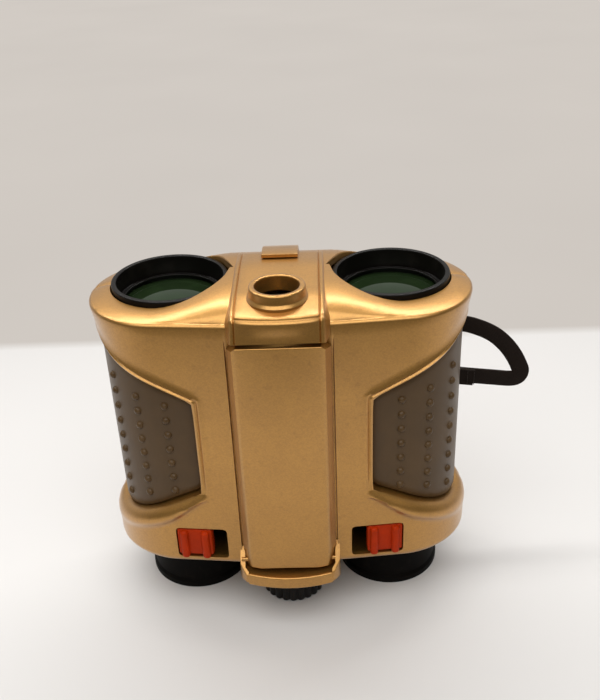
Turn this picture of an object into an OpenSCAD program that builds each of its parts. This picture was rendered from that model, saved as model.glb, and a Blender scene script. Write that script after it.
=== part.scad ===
// Toy binoculars with a pop-up light, standing on the eyecups with the objectives up.
// Millimetres; X to the right, -Y towards the switches, +Z along the optical axes.

/* [Optics] */
// Distance between the two optical axes
axis_gap = 67.6; // [66:0.2:76]
// Outer radius of an objective rim
rim_r = 17; // [15:0.1:17.2]
// Wall of an objective rim
rim_wall = 1.4; // [1.1:0.1:1.8]
// Height of the objective rims above the crease round the top
rim_rise = 2.6; // [2:0.1:4]
// Length of the wide rim end of an objective tube
rim_len = 11.8; // [11:0.1:12.2]
// Depth of the lens seat below the rim
lens_depth = 9.3; // [8:0.1:10]
// Thickness of an objective lens at its edge
lens_edge = 2.4; // [2:0.1:2.8]
// Height of the crown of an objective lens
lens_crown = 1.6; // [1.2:0.1:2]
// Outer radius of an objective tube below its rim end
tube_r = 13; // [12:0.1:13.4]
// Length of the narrow end of an objective tube
tube_len = 27.5; // [18:0.5:34]
// Wall of the narrow end of an objective tube
tube_wall = 1.4; // [1.1:0.1:1.8]
// How far the seat flange stands out round an objective tube
flange_w = 0.9; // [0.6:0.1:1]
// Thickness of the seat flange
flange_t = 1.6; // [1.2:0.1:2]

/* [Body] */
// Height of the lower end of the body above the table
base_z = 20.3; // [18:0.1:26]
// Height of the side walls
wall_h = 88.4; // [84:0.1:100]
// Plan radius of the two lobes
lobe_r = 23.4; // [23:0.1:26]
// How far a lobe centre lies outside the optical axis
lobe_out = 1; // [0.8:0.1:1.2]
// How far the lobe centres lie in front of the optical axes
lobe_fwd = 3.5; // [3.2:0.1:3.6]
// Angle of the front face to each side of the panel
front_slant = 5.5; // [4.5:0.1:6.5]
// Wall of the shells
wall = 1.8; // [1.4:0.1:2]
// Space between the panel foot and an objective rim
spine_gap = 1.8; // [1.6:0.1:2]
// Height of the wider band at the lower end
band_h = 15.9; // [15:0.1:16.4]
// How much wider the lower band is on each side
band_out = 0.9; // [0.6:0.1:1.2]
// Rise of the top between the rims
hump_rise = 5.2; // [4:0.1:7]
// Half width at which the hump meets the shoulders
hump_foot = 36; // [35:0.5:38]
// Rise of a shoulder
shoulder_rise = 0.9; // [0.7:0.1:1.1]
// Width of a shoulder
shoulder_w = 5; // [4.6:0.1:5.4]

/* [Grips] */
// Depth of the grip surface below the lobes
grip_sink = 2.5; // [1.5:0.1:2.8]
// Thickness of a grip
grip_t = 2.2; // [2:0.1:2.3]
// Inner edge of a grip window at the front, from the middle
window_in = 26.7; // [24:0.1:30]
// Inner edge of a grip window at the rear, from the middle
window_rear = 44; // [43:0.5:50]
// Depth of the inner upper corner of a window below the crease
window_drop = 25.7; // [22:0.1:30]
// Height of the inner lower corner of a window above the body's lower end
window_up = 30.1; // [28:0.1:36]
// Slope of the upper window edge
window_top_tilt = 29.7; // [28:0.1:30]
// Slope of the lower window edge
window_foot_tilt = 22.3; // [20:0.1:22.5]
// Radius of a bump
bump_r = 1.3; // [1.1:0.1:1.5]
// How far a bump stands out of the grip
bump_rise = 0.6; // [0.4:0.1:0.8]
// Pitch of the bumps along a column
bump_pitch = 5.4; // [4:0.1:7]
// Height of the lowest bump above the lower window edge
bump_low = 2.6; // [2:0.1:4]
// Depth of the highest bump below the upper window edge
bump_high = 8.6; // [4:0.1:10]

/* [Panel] */
// Height of the panel's lower end above the body's lower end
cover_up = 2.8; // [2.6:0.1:4]
// Depth of the panel's upper end below the crease
cover_drop = 5.1; // [4.6:0.1:7]
// How far the panel stands out of the front face
cover_rise = 6.1; // [5.6:0.1:6.4]
// Width of the bevel along each side of the panel
cover_bevel = 1.9; // [1.6:0.1:2.2]
// Radius of the bowed panel face
bow_r = 40; // [32:1:80]
// Chamfer on the lower front edge of the panel
cover_chamfer = 1.3; // [1.2:0.1:1.5]
// Cut at the panel's lower rear edge, which swings in under the hinge
cover_heel = 1.5; // [1.3:0.1:1.6]
// Half width of the panel between the hinge ears
hinge_half = 14; // [13.8:0.1:14.1]
// How far the hinge pin lies in front of the front face
hinge_fwd = 2.3; // [2.2:0.1:2.5]
// Height of the hinge pin above the panel's lower end
hinge_up = 1.9; // [1.8:0.1:2.1]
// Radius of the hinge pin
pin_r = 0.7; // [0.6:0.05:0.75]
// Thickness of a hinge ear
ear_t = 1.6; // [1.4:0.1:1.8]
// Half width of the lip at the front face
lip_half = 16; // [15.8:0.1:16.4]
// How far the lip stands out of the front face
lip_rise = 8.1; // [7.8:0.1:8.6]
// Bevel along each side of the lip
lip_bevel = 2.6; // [2.2:0.1:2.8]
// How far the lip hangs below the body's lower end
lip_drop = 3.1; // [2:0.1:4]
// Height of the lip
lip_h = 4.3; // [3.6:0.1:4.4]

/* [Nose cap] */
// Thickness of the nose cap
cap_t = 1.2; // [1:0.1:1.4]
// Gap between the panel and the nose cap
cap_gap = 0.7; // [0.6:0.1:0.9]
// Bevel along each side of the nose cap
cap_bevel = 1.7; // [1.4:0.1:2]
// How far the collar lies in front of the optical axes
collar_fwd = 21; // [20.6:0.1:21.2]
// Outer radius of the collar
collar_r = 8.1; // [7.8:0.1:8.4]
// Radius of the collar hole
collar_hole = 6.4; // [6.2:0.1:6.6]
// Height of the collar above the hump
collar_h = 4.4; // [3:0.1:6]
// Width of the chamfer round the foot of the collar
collar_foot = 0.7; // [0.5:0.1:0.9]
// Depth of the port below the hump
port_depth = 4; // [3.4:0.1:4.4]

/* [Switches] */
// Near end of a slot, from the middle
slot_in = 20; // [19.8:0.1:20.4]
// Length of a slot
slot_len = 16.8; // [16.4:0.1:17]
// Height of a slot above the body's lower end
slot_up = 2.9; // [2.6:0.1:4]
// Height of a slot
slot_h = 11.8; // [9:0.1:12]
// Radius of the slot corners
slot_corner = 1.2; // [0.8:0.1:1.5]
// Length of a switch button
button_len = 12; // [10:0.1:12.4]
// Clearance round a button
button_gap = 0.3; // [0.25:0.05:0.35]
// Width of a rib
rib_w = 1.9; // [1.6:0.1:2.2]
// How far a rib stands out of the front face
rib_rise = 1.5; // [1.2:0.1:1.8]

/* [Eyepieces] */
// How far an eyecup stands out round its barrel
cup_wall = 3.4; // [3:0.1:3.8]
// Radius of the opening of an eyecup
cup_hole = 10; // [9.6:0.1:10.4]
// Thickness of the floor of an eyecup
cup_floor = 3; // [2.6:0.1:3.4]
// Depth of the recess in the face of an eyecup
cup_dish = 1.4; // [1:0.1:1.6]
// Gap between the eyecups and the body
cup_gap = 0.4; // [0.3:0.1:0.6]
// Outer radius of an eyepiece barrel
barrel_r = 14; // [13.6:0.1:14.2]
// Wall of an eyepiece barrel
barrel_wall = 1.6; // [1.4:0.1:1.8]
// How far the barrels reach above the bridge
barrel_up = 7.5; // [5:0.5:12]
// Thickness of an eye lens
eye_lens_t = 2.6; // [2.2:0.1:3]
// Height of the eyepiece bridge above the body's lower end
bridge_up = 14.7; // [14:0.1:16]
// Thickness of the eyepiece bridge
bridge_t = 3.5; // [3:0.1:4]

/* [Focus] */
// How far the focus axis lies in front of the optical axes
focus_fwd = 15; // [14.6:0.1:15.4]
// Radius of the focus knob
knob_r = 11; // [9:0.1:12]
// Height of the focus knob
knob_h = 13.5; // [10:0.1:15]
// Gap between the knob and the table
knob_gap = 0.5; // [0.4:0.1:0.8]
// Radius of a flute in the knob
flute_r = 0.8; // [0.6:0.1:0.9]
// Radius of the focus screw
screw_r = 2.5; // [2.3:0.1:2.7]

/* [Light] */
// Depth of the light bay's floor below the crease
bay_drop = 49.9; // [44:0.1:54]
// Depth of the light bay behind the front face
bay_depth = 19.3; // [18:0.1:20]
// Wall of the light bay
bay_wall = 1.2; // [1:0.1:1.4]
// Width of the land round the light bay opening
bay_land = 2.1; // [2:0.1:2.3]
// Depth of the light housing's top below the panel's upper end
housing_drop = 3.8; // [3.4:0.1:5]
// Radius of the reflector
reflector_r = 8.6; // [7:0.1:8.8]
// Depth of the reflector
reflector_h = 13; // [12:0.2:14]
// Radius of the bulb
bulb_r = 2.6; // [2.3:0.1:2.9]
// Thickness of the light window
light_glass = 1.2; // [1:0.1:1.4]
// Thickness of the leaf spring
leaf_t = 0.4; // [0.3:0.05:0.5]

/* [Battery bay] */
// Radius of a battery
cell_r = 5.2; // [4.8:0.05:5.25]
// Length of a battery
cell_len = 44.5; // [43.5:0.1:45]
// Height of the battery bay's floor above the body's lower end
cell_up = 23.7; // [23:0.1:28]
// Thickness of a battery contact
contact_t = 0.6; // [0.4:0.1:0.8]
// Half width of the battery door
door_half = 13.5; // [13.2:0.1:13.8]
// Thickness of the battery door
door_t = 2; // [1.8:0.1:2.2]
// Depth of the door pivot below the battery bay's floor
pivot_drop = 3; // [2.8:0.1:3.4]
// Radius of the door pivots
pivot_r = 0.75; // [0.65:0.05:0.8]
// Half width of the latch tab
tab_half = 5.6; // [5:0.1:6]
// Thickness of the latch tab
tab_t = 1.1; // [0.9:0.1:1.3]

/* [Fasteners] */
// Radius of a screw boss
boss_r = 2.8; // [2.6:0.1:2.9]
// Radius of a screw head
head_r = 2; // [1.8:0.1:2.05]
// Radius of a screw shank
shank_r = 0.85; // [0.75:0.05:0.9]

/* [Strap] */
// Width of the webbing
strap_w = 6; // [5:0.1:6.2]
// Thickness of the webbing
strap_t = 1.3; // [1:0.1:1.5]
// Radius of the coil behind the binoculars
coil_r = 30; // [28:1:32]
// Rise of the coil on each turn
coil_pitch = 7; // [6.8:0.1:7.4]
// Distance of the strap bars from the middle
lug_x = 38; // [37:0.5:39]
// Height of the strap bars above the body's lower end
lug_up = 41.7; // [38:0.1:46]
// How far the strap ears stand out of the rear face
lug_reach = 4.9; // [4.6:0.1:7]
// Radius of a strap bar
bar_r = 1.2; // [1:0.1:1.4]

/* [Hidden] */
$fn = 96;

gold = [0.66, 0.47, 0.2];
black = [0.06, 0.06, 0.06];
grey = [0.2, 0.2, 0.2];
green = [0.3, 0.45, 0.3];
orange = [0.8, 0.22, 0.05];
steel = [0.7, 0.7, 0.7];
brass = [0.8, 0.65, 0.3];
clear = [0.85, 0.9, 0.9];

// an overrun that carries a cut past a face
over = 2;
// running clearance of a shaft in its hole
run = 0.06;
// play of a seated round piece
seat = 0.05;
// clearance between moving pieces
play = 0.3;

axis_x = axis_gap / 2;
lobe_x = axis_x + lobe_out;
spine_half = axis_x - rim_r - spine_gap;
crease_z = base_z + wall_h;
rim_z = crease_z + rim_rise;
cavity_z = base_z + wall;
cavity_h = wall_h - 2 * wall;
ceiling_z = crease_z - wall;
rear_y = lobe_r - lobe_fwd;
// the front line ends a little inside the lobe's circle, so the two cross and don't just touch
tuck_share = 0.999;
tip_x = lobe_x + tuck_share * lobe_r * sin(front_slant);
spine_y = lobe_fwd + tuck_share * lobe_r * cos(front_slant) + (tip_x - spine_half) * tan(front_slant);
front_reach = spine_y + lip_rise;
rear_reach = rear_y + lug_reach;
axis_y = (front_reach - rear_reach) / 2;
grip_r = lobe_r - grip_sink;
grip_back = grip_r - grip_t;
window_top = crease_z - window_drop;
window_foot = base_z + window_up;
window_far = lobe_x + lobe_r + band_out + over;
half_depth = front_reach + over;

cover_z = base_z + cover_up;
cover_top = crease_z - cover_drop;
cap_z = cover_top + cap_gap;
hinge_y = -spine_y - hinge_fwd;
hinge_z = cover_z + hinge_up;
bay_z = crease_z - bay_drop;
bay_half = spine_half - bay_land;
bay_back = bay_depth - spine_y;
cover_back = -spine_y - play;
lip_z = base_z - lip_drop;
lip_top = lip_z + lip_h;
ear_reach_share = 0.7;
// a hinge ear and the panel's knuckle, in radii of the pin
ear_share = 3;
knuckle_share = 5;

// top line of the hump from front to rear: shares of its depth and of its rise
front_shares = [[-1, 0], [-0.94, 0.36], [-0.86, 0.62], [-0.73, 0.8], [-0.4, 0.94], [0, 1]];
rear_shares = [[0.5, 0.88], [0.8, 0.5], [1, 0]];
hump_line = concat([for (s = front_shares) [s[0] * spine_y, s[1] * hump_rise]],
                   [for (s = rear_shares) [s[0] * rear_y, s[1] * hump_rise]]);
cap_end_share = 0.8;
// top line of the nose cap ahead of the collar: shares of the front's reach and of the hump's rise
nose_shares = [[-1, 0.86], [-0.86, 0.97], [-0.73, 1.05]];
// the nose cap's front edge, its brow and its side bevels, as shares of the panel's or the hump's rise
nose_edge_share = 0.55;
nose_brow_share = 0.5;
nose_brow_rise_share = 0.72;
nose_side_share = 0.8;
function hump_at(y) = lookup(y, hump_line);

// angles of the bump columns about the lobe, from the front
bump_angles = [2, 27, 52, 80, 108];

wide_z = rim_z - rim_len;
seat_z = rim_z - lens_depth;
lens_r = rim_r - rim_wall - seat;
ring_w = 0.7;
ring_h = 1.1;

slot_z = base_z + slot_up;
slot_u = (slot_in - lobe_x) / cos(front_slant);
button_u = slot_u + slot_len - button_len - button_gap;
slider_w = 1.6;
slider_t = 1.4;
button_sink = 0.5;
rib_shares = [0.26, 0.79];

cup_top = base_z - cup_gap;
cup_r = barrel_r + cup_wall;
bridge_z = base_z + bridge_up;
barrel_top = bridge_z + bridge_t + barrel_up;
ledge_h = 3;
ledge_w = 2;
ring_wall = 2;
nut_depth = 5;

hub_r = 6;
flute_count = 30;
flute_out_share = 0.3;
screw_top = bridge_z + bridge_t + over;
washer_r = 4.2;
washer_t = 1.4;
screw_hole = screw_r + run;

housing_z = bay_z + 2 * play;
housing_top = cover_top - housing_drop;
housing_h = housing_top - housing_z;
housing_half = bay_half - play;
housing_back = bay_back - play - leaf_t - play;
lamp_y = (cover_back + housing_back) / 2;
lamp_top = housing_top - light_glass;
lamp_foot = lamp_top - reflector_h;
bulb_len = 8;
leaf_half = 4;
leaf_len = 26;

cell_z = base_z + cell_up;
cell_x = cell_r + play / 2;
cell_foot = cell_z + contact_t;
cell_top = cell_foot + cell_len;
battery_h = cell_top + contact_t - cell_z;
battery_half = 2 * cell_r + 2 * play;
battery_y = rear_y - play - cell_r - over;
battery_front = battery_y - cell_r - play;
nub_r = 2.2;
nub_h = 0.9;

door_y = rear_y + play;
door_mid = door_y + door_t / 2;
door_top = crease_z - 2 * over;
pivot_z = cell_z - pivot_drop;
pivot_len = 1.5;
pivot_ear = 1.6;
tab_start = 3;
tab_end = 10.6;

head_sink = 5.9;
low_x = spine_half - play;
low_z = cavity_z + boss_r + play;
// the upper bosses stand part way into the bay's wall
boss_sink_share = 0.75;
high_x = bay_half + boss_sink_share * bay_wall + boss_r;
high_z = wide_z - 2 * boss_r;
head_y = rear_y - head_sink;
head_t = 1.4;
shank_len = 21;
pilot_r = shank_r + run;

lug_t = 1.5;
lug_half = 1.6;
lug_play = 1;
lug_z = base_z + lug_up;
lug_gap = strap_w + lug_play;
bar_y = rear_y + lug_reach - bar_r - play;

// route of the strap from the right lug round the bight and down to the coil
run_route = [[39.7, 23.3, 61.8], [45, 23, 61.6], [54, 22.6, 60.8], [63, 22.2, 59.8], [72, 22, 58.8],
             [78, 22, 58.1], [80.8, 22, 58.6], [81.9, 22.1, 60.8], [81, 22.3, 63.6], [79, 22.8, 67.4],
             [76, 23.2, 71.4], [72, 23.6, 75], [67, 24, 77.6], [61, 24.6, 79.2], [54, 25.2, 78.6],
             [48, 25.8, 74.6], [43, 26.3, 67.6], [39, 26.7, 58], [36, 27, 46], [33, 27, 33], [29, 27, 21],
             [23, 27, 11], [16, 27, 5.2], [8, 27, 3.3], [0, 27, 3.3]];
// route of the strap from the coil up to the left lug
return_route = [[0, 27, 17.3], [-6, 27, 17.3], [-12, 27, 20], [-16.4, 27, 26], [-18.6, 27, 34],
                [-20.4, 27, 43], [-23, 26.6, 52], [-27, 25.6, 58.8], [-32, 24.4, 61.6], [-36.3, 23.4, 62]];
coil_start = [0, 27, 3.3];
coil_turns = 2;
coil_steps = 24;
coil_near = 4;

function unit(v) = v / norm(v);
function clamp(i, n) = max(0, min(n - 1, i));
function tangent(p, i) = unit(p[clamp(i + 1, len(p))] - p[clamp(i - 1, len(p))]);
function section(w, t) = [[w / 2, t / 4], [w / 2 - t / 4, t / 2], [t / 4 - w / 2, t / 2], [-w / 2, t / 4],
                          [-w / 2, -t / 4], [t / 4 - w / 2, -t / 2], [w / 2 - t / 4, -t / 2],
                          [w / 2, -t / 4]];
function section_six(w, t) = [[w / 2, 0], [w / 2 - t / 4, t / 2], [t / 4 - w / 2, t / 2], [-w / 2, 0],
                              [t / 4 - w / 2, -t / 2], [w / 2 - t / 4, -t / 2]];
function ring(c, along, out, s) =
    let (across = unit(cross(out, along)), face = unit(cross(along, across)))
    [for (q = s) c + q[0] * across + q[1] * face];
function coil_point(a) = coil_start + [-coil_r * sin(a), coil_r - coil_r * cos(a), coil_pitch * a / 360];
function coil_along(a) = unit([-cos(a), sin(a), 0]);
function coil_out(a) = [-sin(a), -cos(a), 0];

coil_angles = [for (i = [0 : coil_turns * coil_steps]) i * 360 / coil_steps];
coil_points = [for (a = coil_angles) coil_point(a)];
coil_last = len(coil_points) - 1;
coil_apart = coil_steps - coil_near;
coil_gap = min([for (i = [0 : coil_last - coil_apart])
                for (j = [i + coil_apart : coil_last])
                norm(coil_points[i] - coil_points[j])]) - strap_w;
echo(coil_gap = coil_gap);

module tube_mesh(rings) {
    m = len(rings[0]);
    n = len(rings);
    sides = [for (i = [0 : n - 2]) for (j = [0 : m - 1]) for (k = [0, 1])
             let (a = i * m + j, b = i * m + (j + 1) % m)
             k == 0 ? [a, b, b + m] : [a, b + m, a + m]];
    first = [for (j = [m - 1 : -1 : 0]) j];
    last = [for (j = [0 : m - 1]) (n - 1) * m + j];
    polyhedron([for (r = rings) for (p = r) p], concat(sides, [first, last]), 4);
}

module place() {
    translate([0, axis_y, 0]) children();
}

module mirrored(side) {
    if (side < 0) mirror([1, 0, 0]) children();
    else children();
}

module pair() {
    children();
    mirror([1, 0, 0]) children();
}

// a block from its two corners
module block(a, b) {
    translate(a) cube(b - a);
}

// plan of the body at a given lobe radius
module outline(r, out = 0) {
    x = lobe_x + out;
    tuck_r = tuck_share * r;
    end_x = x + tuck_r * sin(front_slant);
    end_y = -lobe_fwd - tuck_r * cos(front_slant);
    mid_y = end_y - (end_x - spine_half) * tan(front_slant);
    for (side = [-1, 1]) translate([side * x, -lobe_fwd]) circle(r);
    polygon([[-end_x, end_y], [-spine_half, mid_y], [spine_half, mid_y], [end_x, end_y],
             [x, r - lobe_fwd], [-x, r - lobe_fwd]]);
}

module slab(z, h, r, out = 0) {
    translate([0, 0, z]) linear_extrude(h) outline(r, out);
}

// plan of a bowed piece on the middle of the front face
module spine_plan(half, rise, bevel, back) {
    reach = rise + over;
    tip = half - bevel * reach / rise;
    intersection() {
        polygon([[-half, back], [-half, -spine_y], [-tip, -spine_y - reach],
                 [tip, -spine_y - reach], [half, -spine_y], [half, back]]);
        translate([0, bow_r - spine_y - rise]) circle(bow_r);
    }
}

// a profile in Y and Z drawn out to both sides
module side_profile(points, half) {
    translate([-half, 0, 0]) rotate([90, 0, 90]) linear_extrude(2 * half) polygon(points);
}

// a profile in X and Z drawn out along Y
module front_profile(points, y0, y1) {
    translate([0, y1, 0]) rotate([90, 0, 0]) linear_extrude(y1 - y0) polygon(points);
}

function window_points(grow) =
    let (top = window_top + grow / cos(window_top_tilt), foot = window_foot - grow / cos(window_foot_tilt),
         far = window_far - window_in)
    [[window_in - grow, foot + grow * tan(window_foot_tilt)],
     [window_far, foot - far * tan(window_foot_tilt)],
     [window_far, top + far * tan(window_top_tilt)],
     [window_in - grow, top - grow * tan(window_top_tilt)]];

// the right grip window, grown on all sides
module window(grow) {
    difference() {
        front_profile(window_points(grow), -half_depth, half_depth);
        block([0, 0, 0], [window_rear - grow, half_depth + over, rim_z]);
    }
}

// everything under the top line of the hump
module hump_space() {
    translate([0, 0, crease_z])
        side_profile(concat([[-spine_y, -over]], hump_line, [[rear_y, -over]]), hump_foot);
}

module hump() {
    intersection() {
        slab(crease_z - over, hump_rise + over, lobe_r);
        hump_space();
        translate([0, 0, crease_z])
            front_profile([[-hump_foot, -over], [hump_foot, -over], [hump_foot, shoulder_rise / 2],
                           [spine_half, hump_rise], [-spine_half, hump_rise],
                           [-hump_foot, shoulder_rise / 2]], -half_depth, half_depth);
    }
}

module body_solid() {
    slab(base_z, band_h, lobe_r, band_out);
    slab(base_z + band_h, wall_h - band_h, lobe_r);
    for (side = [-1, 1])
        translate([side * lobe_x, -lobe_fwd, crease_z]) cylinder(shoulder_rise, lobe_r, lobe_r - shoulder_w);
    hump();
}

module shell() {
    difference() {
        body_solid();
        difference() {
            slab(cavity_z, cavity_h, lobe_r - wall);
            pair() window(wall);
        }
        slab(cavity_z, cavity_h, grip_back - wall);
        difference() {
            pair() window(0);
            slab(base_z - over, wall_h + over, grip_back);
        }
        for (side = [-1, 1]) {
            translate([side * axis_x, 0, ceiling_z - over])
                cylinder(hump_rise + wall + over + over, rim_r + play, rim_r + play);
            translate([side * axis_x, 0, base_z - over])
                cylinder(wall + over + over, barrel_r + run, barrel_r + run);
        }
        translate([0, -focus_fwd, base_z - over]) cylinder(wall + over + over, screw_hole, screw_hole);
    }
}

module rod_y(x, z, y0, y1, r) {
    translate([x, y1, z]) rotate([90, 0, 0]) cylinder(y1 - y0, r, r);
}

module rod_x(y, z, x0, x1, r) {
    translate([x0, y, z]) rotate([0, 90, 0]) cylinder(x1 - x0, r, r);
}

// the four screw places, as children at [x, z]
screw_places = [[-low_x, low_z], [low_x, low_z], [-high_x, high_z], [high_x, high_z]];

// the plane of the slanted front face at the right: local X along it, local -Y out of it
module face_frame() {
    translate([lobe_x, -lobe_fwd, 0]) rotate([0, 0, front_slant]) children();
}

// a rounded block in the face frame
module face_block(u, v0, v1, z, w, h, c) {
    translate([0, v1, 0]) rotate([90, 0, 0]) linear_extrude(v1 - v0) {
        translate([u + c, z]) square([w - 2 * c, h]);
        translate([u, z + c]) square([w, h - 2 * c]);
        for (x = [u + c, u + w - c], y = [z + c, z + h - c]) translate([x, y]) circle(c);
    }
}

module lip() {
    translate([0, 0, lip_z]) linear_extrude(lip_h)
        spine_plan(lip_half, lip_rise, lip_bevel, wall + over - spine_y);
    ear_in = hinge_half + play;
    pair() translate([ear_in + ear_t / 2, 0, 0]) side_profile(
        [[-spine_y + wall, lip_top - over], [-spine_y + wall, hinge_z + ear_share * pin_r],
         [-spine_y, hinge_z + ear_share * pin_r], [hinge_y - pin_r, hinge_z + 2 * pin_r],
         [hinge_y - ear_share * pin_r, hinge_z - pin_r], [-spine_y - ear_reach_share * lip_rise, lip_top - over]],
        ear_t / 2);
}

module front_shell() {
    color(gold) place() difference() {
        union() {
            intersection() {
                shell();
                block([-window_far, -half_depth, 0], [window_far, 0, rim_z + over + hump_rise]);
            }
            difference() {
                block([-bay_half - bay_wall, wall / 2 - spine_y, bay_z - bay_wall],
                      [bay_half + bay_wall, bay_back + bay_wall, ceiling_z + wall / 2]);
                block([-bay_half, -spine_y - over, bay_z], [bay_half, bay_back, ceiling_z]);
            }
            for (p = screw_places) rod_y(p[0], p[1], wall / 2 - spine_y, 0, boss_r);
            lip();
        }
        block([-bay_half, -spine_y - over, bay_z], [bay_half, bay_back, cover_top + play]);
        for (p = screw_places) rod_y(p[0], p[1], head_y - shank_len - over, over, pilot_r);
        pair() face_frame() face_block(slot_u, -lobe_r - over, wall + over - lobe_r, slot_z, slot_len, slot_h,
                                       slot_corner);
        rod_x(hinge_y, hinge_z, -lip_half - over, lip_half + over, pin_r + run);
        translate([0, -collar_fwd, crease_z + hump_at(-collar_fwd) - port_depth])
            cylinder(port_depth + over, collar_hole, collar_hole);
    }
}

module lug() {
    z0 = lug_z - lug_gap / 2 - lug_t;
    z1 = lug_z + lug_gap / 2;
    for (z = [z0, z1])
        block([lug_x - lug_half, rear_y - wall / 2, z], [lug_x + lug_half, rear_reach, z + lug_t]);
    translate([lug_x, bar_y, z0]) cylinder(lug_gap + 2 * lug_t, bar_r, bar_r);
}

module rear_shell() {
    bay_w = battery_half + bay_wall;
    color(gold) place() difference() {
        union() {
            intersection() {
                shell();
                block([-window_far, 0, 0], [window_far, half_depth, rim_z + over + hump_rise]);
            }
            block([-bay_w, battery_front - bay_wall, cell_z - bay_wall],
                  [bay_w, rear_y - wall / 2, cell_z + battery_h + bay_wall]);
            for (p = screw_places) rod_y(p[0], p[1], 0, rear_y - wall / 2, boss_r);
            pair() lug();
            pair() block([door_half + play, rear_y - wall / 2, pivot_z - door_t],
                         [door_half + play + pivot_ear, door_y + door_t, pivot_z + door_t]);
        }
        block([-battery_half, battery_front, cell_z], [battery_half, rear_y + over, cell_z + battery_h]);
        for (p = screw_places) {
            rod_y(p[0], p[1], -over, rear_y + over, pilot_r);
            rod_y(p[0], p[1], head_y, rear_y + over, head_r + seat);
        }
        rod_x(door_mid, pivot_z, -window_far, window_far, pivot_r + run);
    }
}

module nose_cap() {
    top_line = [for (p = hump_line) if (p[0] <= cap_end_share * rear_y) p];
    n = len(top_line);
    foot = [for (i = [n - 1 : -1 : 1]) top_line[i]];
    last = nose_shares[len(nose_shares) - 1][0] * spine_y;
    head = concat([for (s = nose_shares) [s[0] * spine_y, s[1] * hump_rise]],
                  [for (p = top_line) if (p[0] > last + over) p + [0, cap_t]]);
    front_z = cap_z - crease_z;
    half = spine_half - play;
    color(gold) place() difference() {
        union() {
            intersection() {
                translate([0, 0, crease_z]) side_profile(concat(
                    [[-spine_y - cover_rise, front_z], [-spine_y - cover_rise, nose_edge_share * hump_rise],
                     [-spine_y - nose_brow_share * cover_rise, nose_brow_rise_share * hump_rise]], head, foot,
                    [[-spine_y, 0], [-spine_y, front_z]]), half);
                translate([0, 0, cap_z - over]) linear_extrude(rim_z)
                    spine_plan(spine_half, cover_rise, cover_bevel, rear_y);
                translate([0, 0, crease_z]) front_profile(
                    [[-half, front_z - over], [half, front_z - over], [half, nose_side_share * hump_rise],
                     [half - cap_bevel, hump_rise + 2 * cap_t], [cap_bevel - half, hump_rise + 2 * cap_t],
                     [-half, nose_side_share * hump_rise]], -half_depth, half_depth);
            }
            translate([0, -collar_fwd, crease_z + hump_at(-collar_fwd)]) {
                cylinder(collar_h, collar_r, collar_r);
                cylinder(cap_t + collar_foot, collar_r + cap_t + collar_foot, collar_r);
            }
        }
        translate([0, -collar_fwd, crease_z - over])
            cylinder(2 * hump_rise + collar_h, collar_hole, collar_hole);
        hump_space();
    }
}

module port_insert() {
    color(black) place() translate([0, -collar_fwd, crease_z + hump_at(-collar_fwd) - port_depth])
        difference() {
            cylinder(port_depth - cap_t, collar_hole - seat, collar_hole - seat);
            translate([0, 0, cap_t]) cylinder(port_depth, collar_hole - cap_t, collar_hole - cap_t);
        }
}

// a column of bumps at an angle about the lobe
module bump_column(angle) {
    dx = lobe_x + grip_r * sin(angle) - window_in;
    low = window_foot - dx * tan(window_foot_tilt) + bump_low;
    high = window_top + dx * tan(window_top_tilt) - bump_high;
    gaps = max(1, round((high - low) / bump_pitch));
    for (i = [0 : gaps])
        translate([lobe_x, -lobe_fwd, low + i * (high - low) / gaps]) rotate([0, 0, angle])
            translate([0, bump_r - bump_rise - grip_r, 0]) sphere(bump_r);
}

module grip(side) {
    color(grey) place() mirrored(side) {
        difference() {
            intersection() {
                slab(base_z, wall_h, grip_r);
                window(-play);
            }
            slab(base_z - over, wall_h + 2 * over, grip_back + seat);
        }
        for (angle = bump_angles) bump_column(angle);
    }
}

module left_grip() { grip(-1); }

module right_grip() { grip(1); }

module at_axis(side) {
    place() translate([side * axis_x, 0, 0]) children();
}

module objective_tube(side) {
    color(black) at_axis(side) difference() {
        union() {
            translate([0, 0, wide_z]) cylinder(rim_len, rim_r, rim_r);
            translate([0, 0, ceiling_z - flange_t]) cylinder(flange_t, rim_r + flange_w, rim_r + flange_w);
            translate([0, 0, wide_z - tube_len]) cylinder(tube_len, tube_r, tube_r);
        }
        translate([0, 0, seat_z]) cylinder(lens_depth + over, rim_r - rim_wall, rim_r - rim_wall);
        translate([0, 0, wide_z - tube_len - over])
            cylinder(tube_len + over + rim_len, tube_r - tube_wall, tube_r - tube_wall);
    }
}

module left_objective_tube() { objective_tube(-1); }

module right_objective_tube() { objective_tube(1); }

// radius of the ball that a crown is cut from
function ball_of(r, crown) = (r * r + crown * crown) / (2 * crown);

// a disc with a spherical crown
module crowned_disc(r, edge, crown) {
    ball = ball_of(r, crown);
    cylinder(edge, r, r);
    intersection() {
        translate([0, 0, edge / 2]) cylinder(edge + crown, r, r);
        translate([0, 0, edge + crown - ball]) sphere(ball);
    }
}

module objective_lens(side) {
    color(green) at_axis(side) translate([0, 0, seat_z]) crowned_disc(lens_r, lens_edge, lens_crown);
}

module left_objective_lens() { objective_lens(-1); }

module right_objective_lens() { objective_lens(1); }

module lens_ring(side) {
    bore = lens_r - ring_w;
    ball = ball_of(lens_r, lens_crown);
    // the ring rests on the crown with its inner edge
    lift = lens_crown - ball + sqrt(ball * ball - bore * bore);
    color(black) at_axis(side) translate([0, 0, seat_z + lens_edge + lift]) difference() {
        cylinder(ring_h, lens_r, lens_r);
        translate([0, 0, -over]) cylinder(ring_h + 2 * over, bore, bore);
    }
}

module left_lens_ring() { lens_ring(-1); }

module right_lens_ring() { lens_ring(1); }

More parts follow.
